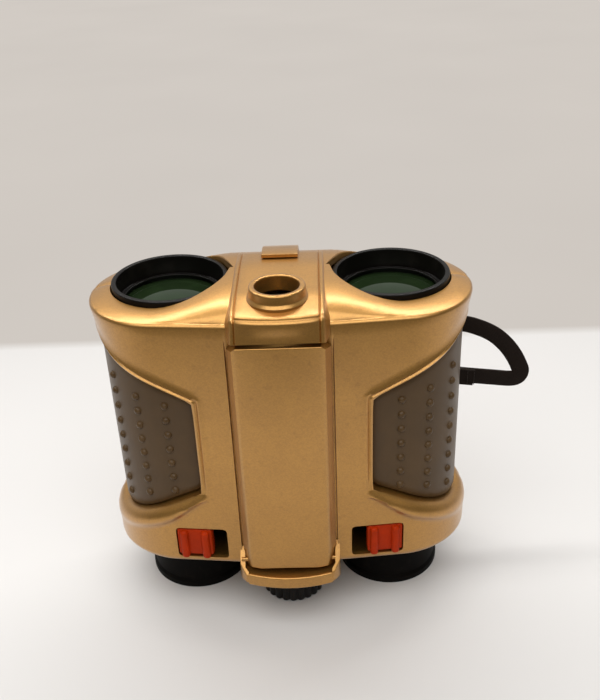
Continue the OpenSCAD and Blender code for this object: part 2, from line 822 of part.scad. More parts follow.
module eyepiece_barrel(side) {
    color(black) at_axis(side) difference() {
        translate([0, 0, cup_floor]) cylinder(barrel_top - cup_floor, barrel_r, barrel_r);
        translate([0, 0, cup_floor - over])
            cylinder(barrel_top + over, barrel_r - barrel_wall - ledge_w, barrel_r - barrel_wall - ledge_w);
        translate([0, 0, cup_floor + ledge_h])
            cylinder(barrel_top, barrel_r - barrel_wall, barrel_r - barrel_wall);
    }
}

module left_eyepiece_barrel() { eyepiece_barrel(-1); }

module right_eyepiece_barrel() { eyepiece_barrel(1); }

module eye_lens(side) {
    color(clear) at_axis(side) translate([0, 0, cup_floor + ledge_h])
        crowned_disc(barrel_r - barrel_wall - seat, eye_lens_t, lens_crown);
}

module left_eye_lens() { eye_lens(-1); }

module right_eye_lens() { eye_lens(1); }

module eyecup(side) {
    color(black) at_axis(side) difference() {
        cylinder(cup_top, cup_r, cup_r);
        translate([0, 0, -over]) cylinder(cup_top, cup_hole, cup_hole);
        translate([0, 0, -over]) cylinder(cup_dish + over, barrel_r, barrel_r);
        translate([0, 0, cup_floor]) cylinder(cup_top, barrel_r + seat, barrel_r + seat);
    }
}

module left_eyecup() { eyecup(-1); }

module right_eyecup() { eyecup(1); }

module eyepiece_bridge() {
    color(black) place() translate([0, 0, bridge_z]) difference() {
        union() {
            for (side = [-1, 1]) translate([side * axis_x, 0, 0])
                cylinder(bridge_t, barrel_r + ring_wall, barrel_r + ring_wall);
            block([-axis_x, -focus_fwd - nut_depth, 0], [axis_x, nut_depth - focus_fwd, bridge_t]);
        }
        for (side = [-1, 1]) translate([side * axis_x, 0, -over])
            cylinder(bridge_t + 2 * over, barrel_r + seat, barrel_r + seat);
        translate([0, -focus_fwd, -over]) cylinder(bridge_t + 2 * over, screw_hole, screw_hole);
    }
}

module focus_knob() {
    color(black) place() translate([0, -focus_fwd, knob_gap]) difference() {
        union() {
            cylinder(knob_h, knob_r, knob_r);
            cylinder(base_z - play - knob_gap, hub_r, hub_r);
        }
        for (i = [0 : flute_count - 1]) rotate([0, 0, i * 360 / flute_count])
            translate([knob_r + flute_out_share * flute_r, 0, -over])
                cylinder(knob_h + 2 * over, flute_r, flute_r);
        translate([0, 0, knob_h / 2]) cylinder(base_z, screw_r + seat, screw_r + seat);
    }
}

module focus_screw() {
    color(steel) place() translate([0, -focus_fwd, 0]) {
        translate([0, 0, knob_gap + knob_h / 2])
            cylinder(screw_top - knob_gap - knob_h / 2, screw_r, screw_r);
        translate([0, 0, cavity_z + play]) cylinder(washer_t, washer_r, washer_r);
    }
}

module light_cover() {
    cover_y = -spine_y - cover_rise;
    color(gold) place() difference() {
        translate([0, 0, cover_z]) linear_extrude(cover_top - cover_z)
            spine_plan(spine_half, cover_rise, cover_bevel, -lobe_fwd);
        block([-spine_half - over, cover_back, 0], [spine_half + over, 0, crease_z]);
        block([-housing_half, cover_back - over, bay_z + play], [housing_half, over, lamp_foot]);
        pair() block([hinge_half, -half_depth, 0], [lip_half + over, 0, hinge_z + knuckle_share * pin_r]);
        side_profile([[cover_y - over, cover_z - over], [cover_y + cover_chamfer + over, cover_z - over],
                      [cover_y - over, cover_z + cover_chamfer + over]], lip_half);
        side_profile([[cover_back + over, cover_z - over], [cover_back - cover_heel - over, cover_z - over],
                      [cover_back + over, cover_z + cover_heel + over]], lip_half);
        rod_x(hinge_y, hinge_z, -lip_half, lip_half, pin_r + run);
    }
}

module light_housing() {
    color(black) place() difference() {
        union() {
            block([-housing_half, cover_back, housing_z], [housing_half, housing_back, housing_top]);
            block([-housing_half + play, cover_back - over, housing_z + over],
                  [housing_half - play, cover_back + over, lamp_foot - over]);
        }
        translate([0, lamp_y, lamp_foot])
            cylinder(housing_h, reflector_r + seat, reflector_r + seat);
        translate([0, lamp_y, housing_z + bay_wall]) cylinder(housing_h, bulb_r + seat, bulb_r + seat);
    }
}

module light_reflector() {
    color(steel) place() translate([0, lamp_y, lamp_foot]) difference() {
        cylinder(reflector_h, reflector_r, reflector_r);
        translate([0, 0, bay_wall]) cylinder(reflector_h - bay_wall + seat, bulb_r + bay_wall,
                                             reflector_r - bay_wall / 2);
        translate([0, 0, -over]) cylinder(reflector_h, bulb_r + seat, bulb_r + seat);
    }
}

module light_bulb() {
    color(clear) place() translate([0, lamp_y, housing_z + bay_wall]) {
        cylinder(lamp_foot - housing_z - bay_wall + bulb_len - bulb_r, bulb_r, bulb_r);
        translate([0, 0, lamp_foot - housing_z - bay_wall + bulb_len - bulb_r]) sphere(bulb_r);
    }
}

module light_window() {
    color(clear) place() translate([0, lamp_y, lamp_top]) cylinder(light_glass, reflector_r, reflector_r);
}

module light_hinge_pin() {
    color(steel) place() rod_x(hinge_y, hinge_z, -hinge_half - ear_t, hinge_half + ear_t, pin_r);
}

module light_spring() {
    color(steel) place()
        block([-leaf_half, bay_back - leaf_t, bay_z + over], [leaf_half, bay_back, bay_z + over + leaf_len]);
}

module switch_button(side) {
    rib_v = -lobe_r - rib_rise;
    color(orange) place() mirrored(side) face_frame() {
        face_block(button_u, button_sink - lobe_r, wall - lobe_r + play, slot_z + button_gap, button_len,
                   slot_h - 2 * button_gap, slot_corner);
        face_block(button_u - slider_w, wall - lobe_r + play, wall - lobe_r + play + slider_t,
                   slot_z - play, button_len + 2 * slider_w, slot_h + 2 * play, slot_corner);
        for (s = rib_shares)
            translate([button_u + s * button_len - rib_w / 2, rib_v, slot_z + button_gap])
                cube([rib_w, rib_rise + button_sink + play, slot_h - 2 * button_gap]);
    }
}

module left_switch() { switch_button(-1); }

module right_switch() { switch_button(1); }

module switch_contacts() {
    v = wall - lobe_r + play + slider_t + play;
    color(brass) place() face_frame() for (u = [button_u, button_u + button_len / 2])
        translate([u, v, cavity_z]) cube([button_len / 3, contact_t, slot_h]);
}

module battery_door() {
    back = door_y + door_t;
    lift = play + crease_z;
    low = [for (p = [tab_start, tab_end, cap_end_share * rear_y])
           [p, hump_at(p) + cap_t + lift]];
    color(gold) place() {
        block([-door_half, door_y, pivot_z], [door_half, back, door_top]);
        rod_x(door_mid, pivot_z, -door_half, door_half, door_t / 2);
        rod_x(door_mid, pivot_z, -door_half - pivot_len, door_half + pivot_len, pivot_r);
        side_profile(concat(low, [[door_y, crease_z + play], [door_y, door_top - over],
                                  [back, door_top - over], [back, crease_z + tab_t]],
                            [for (i = [2 : -1 : 0]) low[i] + [0, tab_t]]), tab_half);
    }
}

module battery(side) {
    color(steel) place() translate([side * cell_x, battery_y, 0]) {
        translate([0, 0, cell_foot]) cylinder(cell_len - nub_h, cell_r, cell_r);
        translate([0, 0, cell_foot]) cylinder(cell_len, nub_r, nub_r);
    }
}

module left_battery() { battery(-1); }

module right_battery() { battery(1); }

module battery_contacts() {
    w = cell_r - play;
    color(brass) place() {
        for (side = [-1, 1]) translate([side * cell_x, battery_y, cell_z])
            block([-w, -w, 0], [w, w, contact_t]);
        block([-battery_half + play, battery_y - w, cell_top],
              [battery_half - play, battery_y + w, cell_top + contact_t]);
    }
}

module shell_screws() {
    color(steel) place() for (p = screw_places) {
        rod_y(p[0], p[1], head_y - shank_len, head_y + head_t / 2, shank_r);
        rod_y(p[0], p[1], head_y, head_y + head_t, head_r);
    }
}

module strap_run() {
    color(black) place() tube_mesh([for (i = [0 : len(run_route) - 1])
        ring(run_route[i], tangent(run_route, i), [0, -1, 0], section(strap_w, strap_t))]);
}

module strap_coil() {
    color(black) place() tube_mesh([for (a = coil_angles)
        ring(coil_point(a), coil_along(a), coil_out(a), section_six(strap_w, strap_t))]);
}

module strap_return() {
    color(black) place() tube_mesh([for (i = [0 : len(return_route) - 1])
        ring(return_route[i], tangent(return_route, i), [0, -1, 0], section(strap_w, strap_t))]);
}

front_shell();
rear_shell();
nose_cap();
port_insert();
left_grip();
right_grip();
left_objective_tube();
right_objective_tube();
left_objective_lens();
right_objective_lens();
left_lens_ring();
right_lens_ring();
left_eyepiece_barrel();
right_eyepiece_barrel();
left_eye_lens();
right_eye_lens();
left_eyecup();
right_eyecup();
eyepiece_bridge();
focus_knob();
focus_screw();
light_cover();
light_housing();
light_reflector();
light_bulb();
light_window();
light_hinge_pin();
light_spring();
left_switch();
right_switch();
switch_contacts();
battery_door();
left_battery();
right_battery();
battery_contacts();
shell_screws();
strap_run();
strap_coil();
strap_return();
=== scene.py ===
"""Models and paints a pair of toy binoculars with a pop-up light around their fixed frame."""
import math
from collections import namedtuple
from contextlib import contextmanager

import bmesh
import bpy
from mathutils import Matrix, Vector


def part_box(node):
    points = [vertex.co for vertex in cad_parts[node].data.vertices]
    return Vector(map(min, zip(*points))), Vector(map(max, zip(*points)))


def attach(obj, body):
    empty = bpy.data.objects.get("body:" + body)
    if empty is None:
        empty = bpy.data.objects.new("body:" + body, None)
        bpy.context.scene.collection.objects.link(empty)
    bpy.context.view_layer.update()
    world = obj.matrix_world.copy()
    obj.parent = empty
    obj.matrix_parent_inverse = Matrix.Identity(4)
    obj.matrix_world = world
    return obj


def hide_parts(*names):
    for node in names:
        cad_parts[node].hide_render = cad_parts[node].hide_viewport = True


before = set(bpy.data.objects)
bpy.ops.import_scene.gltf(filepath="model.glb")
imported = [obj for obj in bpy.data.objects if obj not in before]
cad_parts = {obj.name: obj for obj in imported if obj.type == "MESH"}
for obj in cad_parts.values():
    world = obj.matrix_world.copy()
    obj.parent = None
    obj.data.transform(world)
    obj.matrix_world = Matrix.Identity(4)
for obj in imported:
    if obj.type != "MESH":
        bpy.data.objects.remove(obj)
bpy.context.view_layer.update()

bl_info = {
    "name": "Toy binoculars",
    "version": (1, 0, 0),
    "blender": (4, 5, 0),
    "location": "3D View > Sidebar > Binoculars",
    "description": "Models and paints toy binoculars with a pop-up light",
    "category": "Mesh",
}

MM = 0.001
TINY = 1e-6

Round = namedtuple("Round", "base top centre radius")


def round_node(node):
    """A round node's lowest and highest place, its upright axis and its radius."""
    low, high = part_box(node)
    centre = ((low[0] + high[0]) / 2, (low[1] + high[1]) / 2)
    return Round(low[2], high[2], centre, (high[0] - low[0]) / 2)


# the right objective's rim, on the optical axis that the body is built around
RIM = round_node("right_objective_tube")
AXIS_X, AXIS_Y = RIM.centre


def length(name, description, default):
    """A size in metres that a user can change."""
    return bpy.props.FloatProperty(name=name, description=description, default=default,
                                   unit="LENGTH", precision=5)


def colour(name, description, default):
    """A colour that a user can change."""
    return bpy.props.FloatVectorProperty(name=name, description=description, default=default,
                                         subtype="COLOR", size=3, min=0, max=1)


def turn(name, description, default):
    """An angle, given in degrees, that a user can change."""
    return bpy.props.FloatProperty(name=name, description=description,
                                   default=math.radians(default), subtype="ANGLE")


class ToySizes(bpy.types.PropertyGroup):
    """Sizes of the moulded pieces."""
    lobe_x: length("Lobe centre", "Sideways place of each round lobe", AXIS_X + 1.0 * MM)
    lobe_y: length("Lobe depth", "Fore and aft place of each round lobe", AXIS_Y - 3.5 * MM)
    lobe_r: length("Lobe radius", "Radius of the round lobes", 23.4 * MM)
    front_slant: turn("Front slant", "How far the front falls back towards the lobes", 5.5)
    spine_half: length("Spine half width", "Half width of the flat middle of the front", 15 * MM)
    base_z: length("Base", "Height of the body's underside", 20.3 * MM)
    crease_z: length("Crease", "Height of the edge between the wall and the top", 108.7 * MM)
    hump_rise: length("Hump", "Rise of the top's middle above the crease", 5.2 * MM)
    shoulder_rise: length("Shoulder", "Rise of the top just inside the crease", 0.9 * MM)
    band_out: length("Band", "How far the lower band stands out at the sides", 1.0 * MM)
    cap_taper: length("Cap taper", "How far the upper wall draws in at the sides", 2.1 * MM)
    ledge_rise: length("Ledge", "Rise of the rolled ledge below each grip", 1.9 * MM)
    bead_rise: length("Bead", "Rise of the bead round each grip window", 0.32 * MM)
    wall: length("Wall", "Wall of the moulded shells", 1.4 * MM)
    window_in: length("Window edge", "Sideways place of the grip window's inner edge", 26.7 * MM)
    window_rear: length("Window end", "Sideways place of the grip window's rear edge", 44 * MM)
    window_foot: length("Window foot", "Lower inner corner of the grip window", 48.9 * MM)
    window_head: length("Window head", "Upper inner corner of the grip window", 82.5 * MM)
    foot_slope: turn("Foot slope", "Fall of the window's lower edge", 24.5)
    head_slope: turn("Head slope", "Rise of the window's upper edge", 27.9)
    panel_groove: length("Panel groove", "Depth of the groove beside the pop-up panel", 1.5 * MM)
    grip_sink: length("Grip sink", "How far the grips lie below the wall", 2.5 * MM)
    strap_w: length("Strap width", "Width of the neck strap", 6 * MM)
    strap_t: length("Strap thickness", "Thickness of the neck strap", 1.3 * MM)


class ToyColours(bpy.types.PropertyGroup):
    """Colours of the finishes."""
    gold: colour("Gold", "Metallic paint of the shells", (0.50, 0.255, 0.050))
    gold_dark: colour("Dark gold", "Metallic paint where it is worn or in the flecks", (0.27, 0.118, 0.026))
    black: colour("Black", "Moulded black plastic", (0.004, 0.0032, 0.0025))
    rubber: colour("Grip", "Grey-brown rubber of the grips", (0.097, 0.055, 0.021))
    orange: colour("Switch", "Orange-red of the sliding switches", (0.44, 0.029, 0.001))
    # the lens colour is partly the coating's green and partly painted shade, standing for the dark tube
    # seen through the glass
    lens: colour("Lens", "Green-black of the coated lenses", (0.009, 0.0175, 0.006))
    webbing: colour("Strap", "Black-brown webbing", (0.009, 0.005, 0.003))
    floor: colour("Floor", "Pale table", (0.74, 0.73, 0.72))
    wall: colour("Wall", "Pale wall behind the table", (0.62, 0.575, 0.53))


def deselect():
    """Leaves edit mode and selects nothing."""
    if bpy.context.object and bpy.context.object.mode != "OBJECT":
        bpy.ops.object.mode_set(mode="OBJECT")
    bpy.ops.object.select_all(action="DESELECT")


def pick(obj):
    """Makes one object the selected and active one."""
    deselect()
    obj.select_set(True)
    bpy.context.view_layer.objects.active = obj


@contextmanager
def editing(obj):
    """Edit mode on one object, with all of its mesh selected."""
    pick(obj)
    bpy.ops.object.mode_set(mode="EDIT")
    bpy.ops.mesh.select_all(action="SELECT")
    yield
    bpy.ops.object.mode_set(mode="OBJECT")


def modify(obj, kind, **settings):
    """Adds a modifier and applies it."""
    pick(obj)
    modifier = obj.modifiers.new(kind.title(), kind)
    for name, value in settings.items():
        setattr(modifier, name, value)
    bpy.ops.object.modifier_apply(modifier=modifier.name)


def merge(obj, reach=0.02 * MM):
    """Merges doubles and turns every face outwards."""
    with editing(obj):
        bpy.ops.mesh.remove_doubles(threshold=reach)
        bpy.ops.mesh.dissolve_degenerate(threshold=reach / 10)
        bpy.ops.mesh.normals_make_consistent(inside=False)


def turn_out(obj):
    """Turns every face outwards."""
    with editing(obj):
        bpy.ops.mesh.normals_make_consistent(inside=False)


def ease_edges(obj, width, segments, angle):
    """Bevels the edges that turn by more than an angle."""
    modify(obj, "BEVEL", width=width, segments=segments, limit_method="ANGLE",
           angle_limit=math.radians(angle))


def smooth_shade(obj, angle=35):
    """Smooth shading with the edges sharper than an angle kept sharp."""
    pick(obj)
    bpy.ops.object.shade_smooth_by_angle(angle=math.radians(angle))


def join(first, *others):
    """Joins closed pieces that touch into one object."""
    pick(first)
    for obj in others:
        obj.select_set(True)
    bpy.ops.object.join()
    return first


def cut(obj, *tools):
    """Takes tool bodies out of a closed piece."""
    for tool in tools:
        modify(obj, "BOOLEAN", operation="DIFFERENCE", solver="EXACT", object=tool)
        bpy.data.objects.remove(tool, do_unlink=True)


def drop_in(name, obj, finish, body, slot, *nodes):
    """Names and paints a finished piece, sets it on its body and hides the nodes that it stands in for."""
    obj.name = name
    obj.data.name = name
    obj.data.materials.clear()
    obj.data.materials.append(finish)
    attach(obj, body)
    if nodes:
        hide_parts(*nodes)
    return obj


def paint(finish, *nodes):
    """Gives a finish to pieces that keep their own mesh."""
    for node in nodes:
        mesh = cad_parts[node].data
        mesh.materials.clear()
        mesh.materials.append(finish)


def ease(low, high, value):
    """0 below low, 1 above high, and a smooth step between."""
    share = min(max((value - low) / (high - low), 0), 1)
    return share * share * (3 - 2 * share)


def along(stops, value):
    """Value of a line through (place, height) stops."""
    for (a, p), (b, q) in zip(stops, stops[1:]):
        if value <= b:
            return p + (q - p) * max(value - a, 0) / (b - a)
    return stops[-1][1]


def rounded(points, radius, steps=4, closed=True):
    """An outline with its corners rounded. A radius is one number or one for each corner."""
    radii = radius if isinstance(radius, (list, tuple)) else [radius] * len(points)
    line = []
    for i, point in enumerate(points):
        here = Vector(point)
        back = Vector(points[i - 1]) - here
        ahead = Vector(points[(i + 1) % len(points)]) - here
        at_end = not closed and i in (0, len(points) - 1)
        if at_end or radii[i] <= 0:
            line.append(tuple(here))
            continue
        half = back.angle(ahead) / 2
        reach = min(radii[i] / math.tan(half), back.length * 0.49, ahead.length * 0.49)
        start = here + back.normalized() * reach
        end = here + ahead.normalized() * reach
        for k in range(steps + 1):
            t = k / steps
            line.append(tuple(start * (1 - t) ** 2 + here * (2 * t * (1 - t)) + end * t ** 2))
    return line


def turned(profile, centre, sides=96):
    """A round piece: an outline of (radius, height) points spun about an upright axis."""
    deselect()
    bpy.ops.mesh.primitive_circle_add(vertices=len(profile), radius=MM)
    obj = bpy.context.object
    for vertex, (radius, height) in zip(obj.data.vertices, profile):
        vertex.co = (centre[0] + radius, centre[1], height)
    with editing(obj):
        bpy.ops.mesh.spin(steps=sides, angle=2 * math.pi, center=(centre[0], centre[1], 0), axis=(0, 0, 1))
    merge(obj)
    return obj


def surface(rows):
    """A sheet through rows of points, from a grid with its points moved into place."""
    deselect()
    wide = len(rows[0]) - 1
    tall = len(rows) - 1
    bpy.ops.mesh.primitive_grid_add(x_subdivisions=wide, y_subdivisions=tall, size=2)
    obj = bpy.context.object
    for vertex in obj.data.vertices:
        column = round((vertex.co.x + 1) / 2 * wide)
        row = round((vertex.co.y + 1) / 2 * tall)
        vertex.co = rows[row][column]
    return obj


def slab(outline, run):
    """A flat outline drawn out along a direction."""
    deselect()
    bpy.ops.mesh.primitive_circle_add(vertices=len(outline), radius=MM, fill_type="NGON")
    obj = bpy.context.object
    for vertex, point in zip(obj.data.vertices, outline):
        vertex.co = point
    with editing(obj):
        bpy.ops.mesh.extrude_region_move(TRANSFORM_OT_translate={"value": run})
        bpy.ops.mesh.select_all(action="SELECT")
        bpy.ops.mesh.normals_make_consistent(inside=False)
    return obj


def block(low, high, bevel=0, segments=2):
    """A box between two corners with its edges eased."""
    deselect()
    middle = [(a + b) / 2 for a, b in zip(low, high)]
    bpy.ops.mesh.primitive_cube_add(size=1, location=middle)
    obj = bpy.context.object
    obj.scale = [b - a for a, b in zip(low, high)]
    bpy.ops.object.transform_apply(location=True, scale=True)
    if bevel:
        modify(obj, "BEVEL", width=bevel, segments=segments)
    return obj


def rod(centre, axis, radius, run, sides=32):
    """A round bar about a point."""
    deselect()
    facing = Vector((0, 0, 1)).rotation_difference(Vector(axis)).to_euler()
    bpy.ops.mesh.primitive_cylinder_add(vertices=sides, radius=radius, depth=run, location=centre,
                                        rotation=facing)
    bpy.ops.object.transform_apply(location=True, rotation=True)
    return bpy.context.object


def copy_of(obj, shift=None):
    """A copy of an object with a mesh of its own, moved by a shift if one is given."""
    twin = bpy.data.objects.new(obj.name, obj.data.copy())
    bpy.context.collection.objects.link(twin)
    if shift:
        for vertex in twin.data.vertices:
            vertex.co += Vector(shift)
    return twin


def eased(node, width):
    """A copy of a piece's own solid with its triangles joined into faces and its edges eased."""
    obj = copy_of(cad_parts[node])
    with editing(obj):
        bpy.ops.mesh.remove_doubles(threshold=0.005 * MM)
        bpy.ops.mesh.dissolve_limited(angle_limit=math.radians(1))
    ease_edges(obj, width, 3, 25)
    return obj


def mirrored_copy(obj):
    """The other hand of a piece, as a mesh of its own."""
    twin = copy_of(obj)
    for vertex in twin.data.vertices:
        vertex.co.x = -vertex.co.x
    with editing(twin):
        bpy.ops.mesh.flip_normals()
    return twin


class Wire:
    """A node's socket that can be used in sums and products."""

    def __init__(self, paint_job, socket):
        self.paint_job = paint_job
        self.socket = socket

    def worked_out(self, operation, first, second):
        return self.paint_job.node("ShaderNodeMath", {"operation": operation}, {0: first, 1: second})

    def __add__(self, other):
        return self.worked_out("ADD", self, other)

    def __radd__(self, other):
        return self.worked_out("ADD", other, self)

    def __mul__(self, other):
        return self.worked_out("MULTIPLY", self, other)

    def __rmul__(self, other):
        return self.worked_out("MULTIPLY", other, self)


class Finish:
    """A material made of nodes."""

    def __init__(self, name):
        self.material = bpy.data.materials.new(name)
        self.material.use_nodes = True
        self.tree = self.material.node_tree
        self.shader = self.tree.nodes["Principled BSDF"]

    def node(self, kind, settings=None, sockets=None, out=0):
        """Adds a node: its settings first, then the values or links of its sockets."""
        node = self.tree.nodes.new(kind)
        for name, value in (settings or {}).items():
            setattr(node, name, value)
        for name, value in (sockets or {}).items():
            self.feed(node.inputs[name], value)
        return Wire(self, node.outputs[out])

    def feed(self, socket, value):
        """Links a wire to a socket, or sets its value."""
        if isinstance(value, Wire):
            self.tree.links.new(value.socket, socket)
        else:
            socket.default_value = value

    def coords(self, output="Object"):
        """Places on the piece in the shared frame, or on its own map."""
        return self.node("ShaderNodeTexCoord", out=output)

    def noise(self, scale, detail=2, vector=None):
        """Soft noise from 0 to 1 with features of 1 / scale metres."""
        return self.node("ShaderNodeTexNoise", {}, {"Vector": vector or self.coords(), "Scale": scale,
                                                    "Detail": detail}, "Fac")

    def spread(self, wire, low, high):
        """Stretches a value so that low becomes 0 and high becomes 1."""
        return self.node("ShaderNodeMapRange", {"clamp": True},
                         {"Value": wire, "From Min": low, "From Max": high}, "Result")

    def mix(self, share, first, second):
        """Mixes two colours."""
        return self.node("ShaderNodeMix", {"data_type": "RGBA"}, {0: share, 6: first, 7: second}, 2)

    def bump(self, height, depth, strength):
        """A normal from a height that stands for a depth in metres."""
        return self.node("ShaderNodeBump", {}, {"Height": height, "Distance": depth,
                                                "Strength": strength}, "Normal")

    def done(self, **sockets):
        """Sets the shader's sockets and gives the material."""
        for name, value in sockets.items():
            self.feed(self.shader.inputs[name.replace("_", " ").title().replace("Ior", "IOR")], value)
        return self.material


def rgba(shade, gain=1.0):
    """A colour for a socket, made paler or darker by a gain."""
    return (shade[0] * gain, shade[1] * gain, shade[2] * gain, 1)


def finish(make):
    """Makes a material once and hands it out again after that."""
    def once():
        name = f"toy_{make.__name__}"
        return bpy.data.materials.get(name) or make(Finish(name), bpy.context.scene.toy_colours)
    return once


@finish
def gold_paint(job, tint):
    """Metallic paint: fine flecks, cloudy tone and a slightly grainy skin."""
    fleck = job.node("ShaderNodeTexVoronoi", {}, {"Vector": job.coords(), "Scale": 2600}, "Color")
    fleck = job.node("ShaderNodeSeparateColor", {}, {"Color": fleck}, "Red")
    cloud = job.spread(job.noise(70, 4), 0.35, 0.7)
    grain = job.noise(1500, 3)
    speck = job.spread(job.noise(420, 2), 0.62, 0.7)
    dark = job.spread(fleck, 0.1, 0.9) * 0.22 + cloud * 0.1 + speck * 0.16
    shade = job.mix(dark, rgba(tint.gold, 1.04), rgba(tint.gold_dark))
    return job.done(base_color=shade, metallic=0.9, roughness=0.34 + cloud * 0.05 + fleck * 0.06,
                    normal=job.bump(grain, 0.02 * MM, 0.35), coat_weight=0.9, coat_roughness=0.3)


@finish
def gold_inside(job, tint):
    """The same paint in the bays, thin and dull."""
    cloud = job.noise(240, 3)
    shade = job.mix(cloud, rgba(tint.gold_dark), rgba(tint.gold_dark, 0.5))
    return job.done(base_color=shade, metallic=0.2, roughness=0.6)


@finish
def black_plastic(job, tint):
    """Satin moulded black with a faint grain and rubbed patches."""
    grain = job.noise(2200, 2)
    rub = job.spread(job.noise(160, 4), 0.5, 0.75)
    shade = job.mix(rub, rgba(tint.black), rgba(tint.black, 2.2))
    return job.done(base_color=shade, roughness=0.34 + rub * 0.12, specular_ior_level=0.2,
                    normal=job.bump(grain, 0.01 * MM, 0.5))


@finish
def eyecup_black(job, tint):
    """Soft matt black."""
    grain = job.noise(1600, 3)
    dust = job.spread(job.noise(300, 4), 0.55, 0.8)
    shade = job.mix(dust, rgba(tint.black, 0.8), rgba(tint.black, 2.4))
    return job.done(base_color=shade, roughness=0.5 + dust * 0.15, specular_ior_level=0.06,
                    normal=job.bump(grain, 0.02 * MM, 0.4))


@finish
def grip_rubber(job, tint):
    """Grey-brown rubber with a fine skin and a worn bloom."""
    grain = job.noise(2600, 2)
    bloom = job.spread(job.noise(90, 4), 0.4, 0.7)
    shade = job.mix(bloom, rgba(tint.rubber, 0.92), rgba(tint.rubber, 1.12))
    return job.done(base_color=shade, roughness=0.36 + bloom * 0.08, specular_ior_level=0.27,
                    normal=job.bump(grain, 0.015 * MM, 0.4))


@finish
def green_lens(job, tint):
    """Coated glass, made opaque: its green-black is the coating's green with painted shade, standing for
    the dark tube seen through it.
    """
    haze = job.spread(job.noise(120, 3), 0.45, 0.8)
    # the lens tone is painted shade from the tube behind it, with a random haze over it
    shade = job.mix(haze, rgba(tint.lens), rgba(tint.lens, 1.5))
    return job.done(base_color=shade, roughness=0.03 + haze * 0.03, specular_ior_level=0.5,
                    specular_tint=(0.62, 1.0, 0.62, 1), ior=1.5)


@finish
def clear_plastic(job, tint):
    """Clear moulded plastic with faint swirls."""
    swirl = job.noise(300, 3)
    return job.done(base_color=(0.9, 0.92, 0.9, 1), roughness=0.04 + swirl * 0.05, transmission_weight=0.9,
                    ior=1.49)


@finish
def orange_plastic(job, tint):
    """Orange-red moulded plastic, a little uneven in tone."""
    tone = job.spread(job.noise(260, 4), 0.35, 0.7)
    grain = job.noise(1800, 2)
    shade = job.mix(tone, rgba(tint.orange, 0.9), rgba(tint.orange, 1.12))
    return job.done(base_color=shade, roughness=0.45 + tone * 0.1, specular_ior_level=0.1,
                    normal=job.bump(grain, 0.01 * MM, 0.4))


@finish
def steel(job, tint):
    """Bright plated steel with fine drawn lines."""
    lines = job.noise(1, 2, job.node("ShaderNodeMapping", {}, {"Vector": job.coords(),
                                                               "Scale": (3000, 3000, 300)}))
    shade = job.mix(lines, (0.55, 0.54, 0.52, 1), (0.68, 0.67, 0.65, 1))
    return job.done(base_color=shade, metallic=1.0, roughness=0.24 + lines * 0.14)


@finish
def mirror_coat(job, tint):
    """Bright reflector coat."""
    ripple = job.noise(500, 2)
    shade = job.mix(ripple, (0.80, 0.80, 0.78, 1), (0.90, 0.90, 0.88, 1))
    return job.done(base_color=shade, metallic=1.0, roughness=0.08 + ripple * 0.08)


@finish
def contact_brass(job, tint):
    """Sprung brass strip, a little tarnished."""
    tarnish = job.spread(job.noise(500, 4), 0.4, 0.7)
    shade = job.mix(tarnish, (0.60, 0.42, 0.16, 1), (0.36, 0.23, 0.08, 1))
    return job.done(base_color=shade, metallic=1.0, roughness=0.28 + tarnish * 0.2)


@finish
def cell_sleeve(job, tint):
    """Plain printed sleeve of a cell: a dark body with a paler end band."""
    height = job.node("ShaderNodeSeparateXYZ", {}, {"Vector": job.coords()}, "Z")
    end = job.spread(height, 78 * MM, 78.2 * MM)
    tone = job.noise(600, 2)
    body = job.mix(tone, (0.03, 0.05, 0.10, 1), (0.04, 0.07, 0.13, 1))
    return job.done(base_color=job.mix(end, body, (0.55, 0.40, 0.16, 1)), roughness=0.3 + tone * 0.1)


@finish
def strap_webbing(job, tint):
    """Woven tape: rows of yarn along and across, with fuzz over them."""
    place = job.node("ShaderNodeSeparateXYZ", {}, {"Vector": job.coords("UV")}, "X")
    across = job.node("ShaderNodeSeparateXYZ", {}, {"Vector": job.coords("UV")}, "Y")
    picks = job.node("ShaderNodeMath", {"operation": "SINE"}, {0: place * (2 * math.pi / (0.9 * MM))})
    ends = job.node("ShaderNodeMath", {"operation": "SINE"}, {0: across * (2 * math.pi / (0.6 * MM))})
    yarn = job.spread(picks * ends, -1, 1)
    fuzz = job.noise(2400, 4)
    shade = job.mix(yarn * 0.6 + fuzz * 0.4, rgba(tint.webbing, 0.55), rgba(tint.webbing, 2.0))
    return job.done(base_color=shade, roughness=0.75 + fuzz * 0.15,
                    normal=job.bump(yarn + fuzz * 0.4, 0.12 * MM, 0.8), specular_ior_level=0.2)


@finish
def thread(job, tint):
    """Waxed black thread."""
    twist = job.node("ShaderNodeTexWave", {"bands_direction": "DIAGONAL"},
                     {"Vector": job.coords(), "Scale": 900}, "Fac")
    shade = job.mix(twist, rgba(tint.webbing), rgba(tint.webbing, 3.5))
    return job.done(base_color=shade, roughness=0.6 + twist * 0.1)


class Column:
    """One upright line of the body's wall: its place, its outward direction and its turn round the lobe."""

    def __init__(self, place, out, angle):
        self.place = Vector(place)
        self.out = Vector(out)
        self.angle = angle

    def at(self, rise, z):
        return (self.place.x + self.out.x * rise, self.place.y + self.out.y * rise, z)


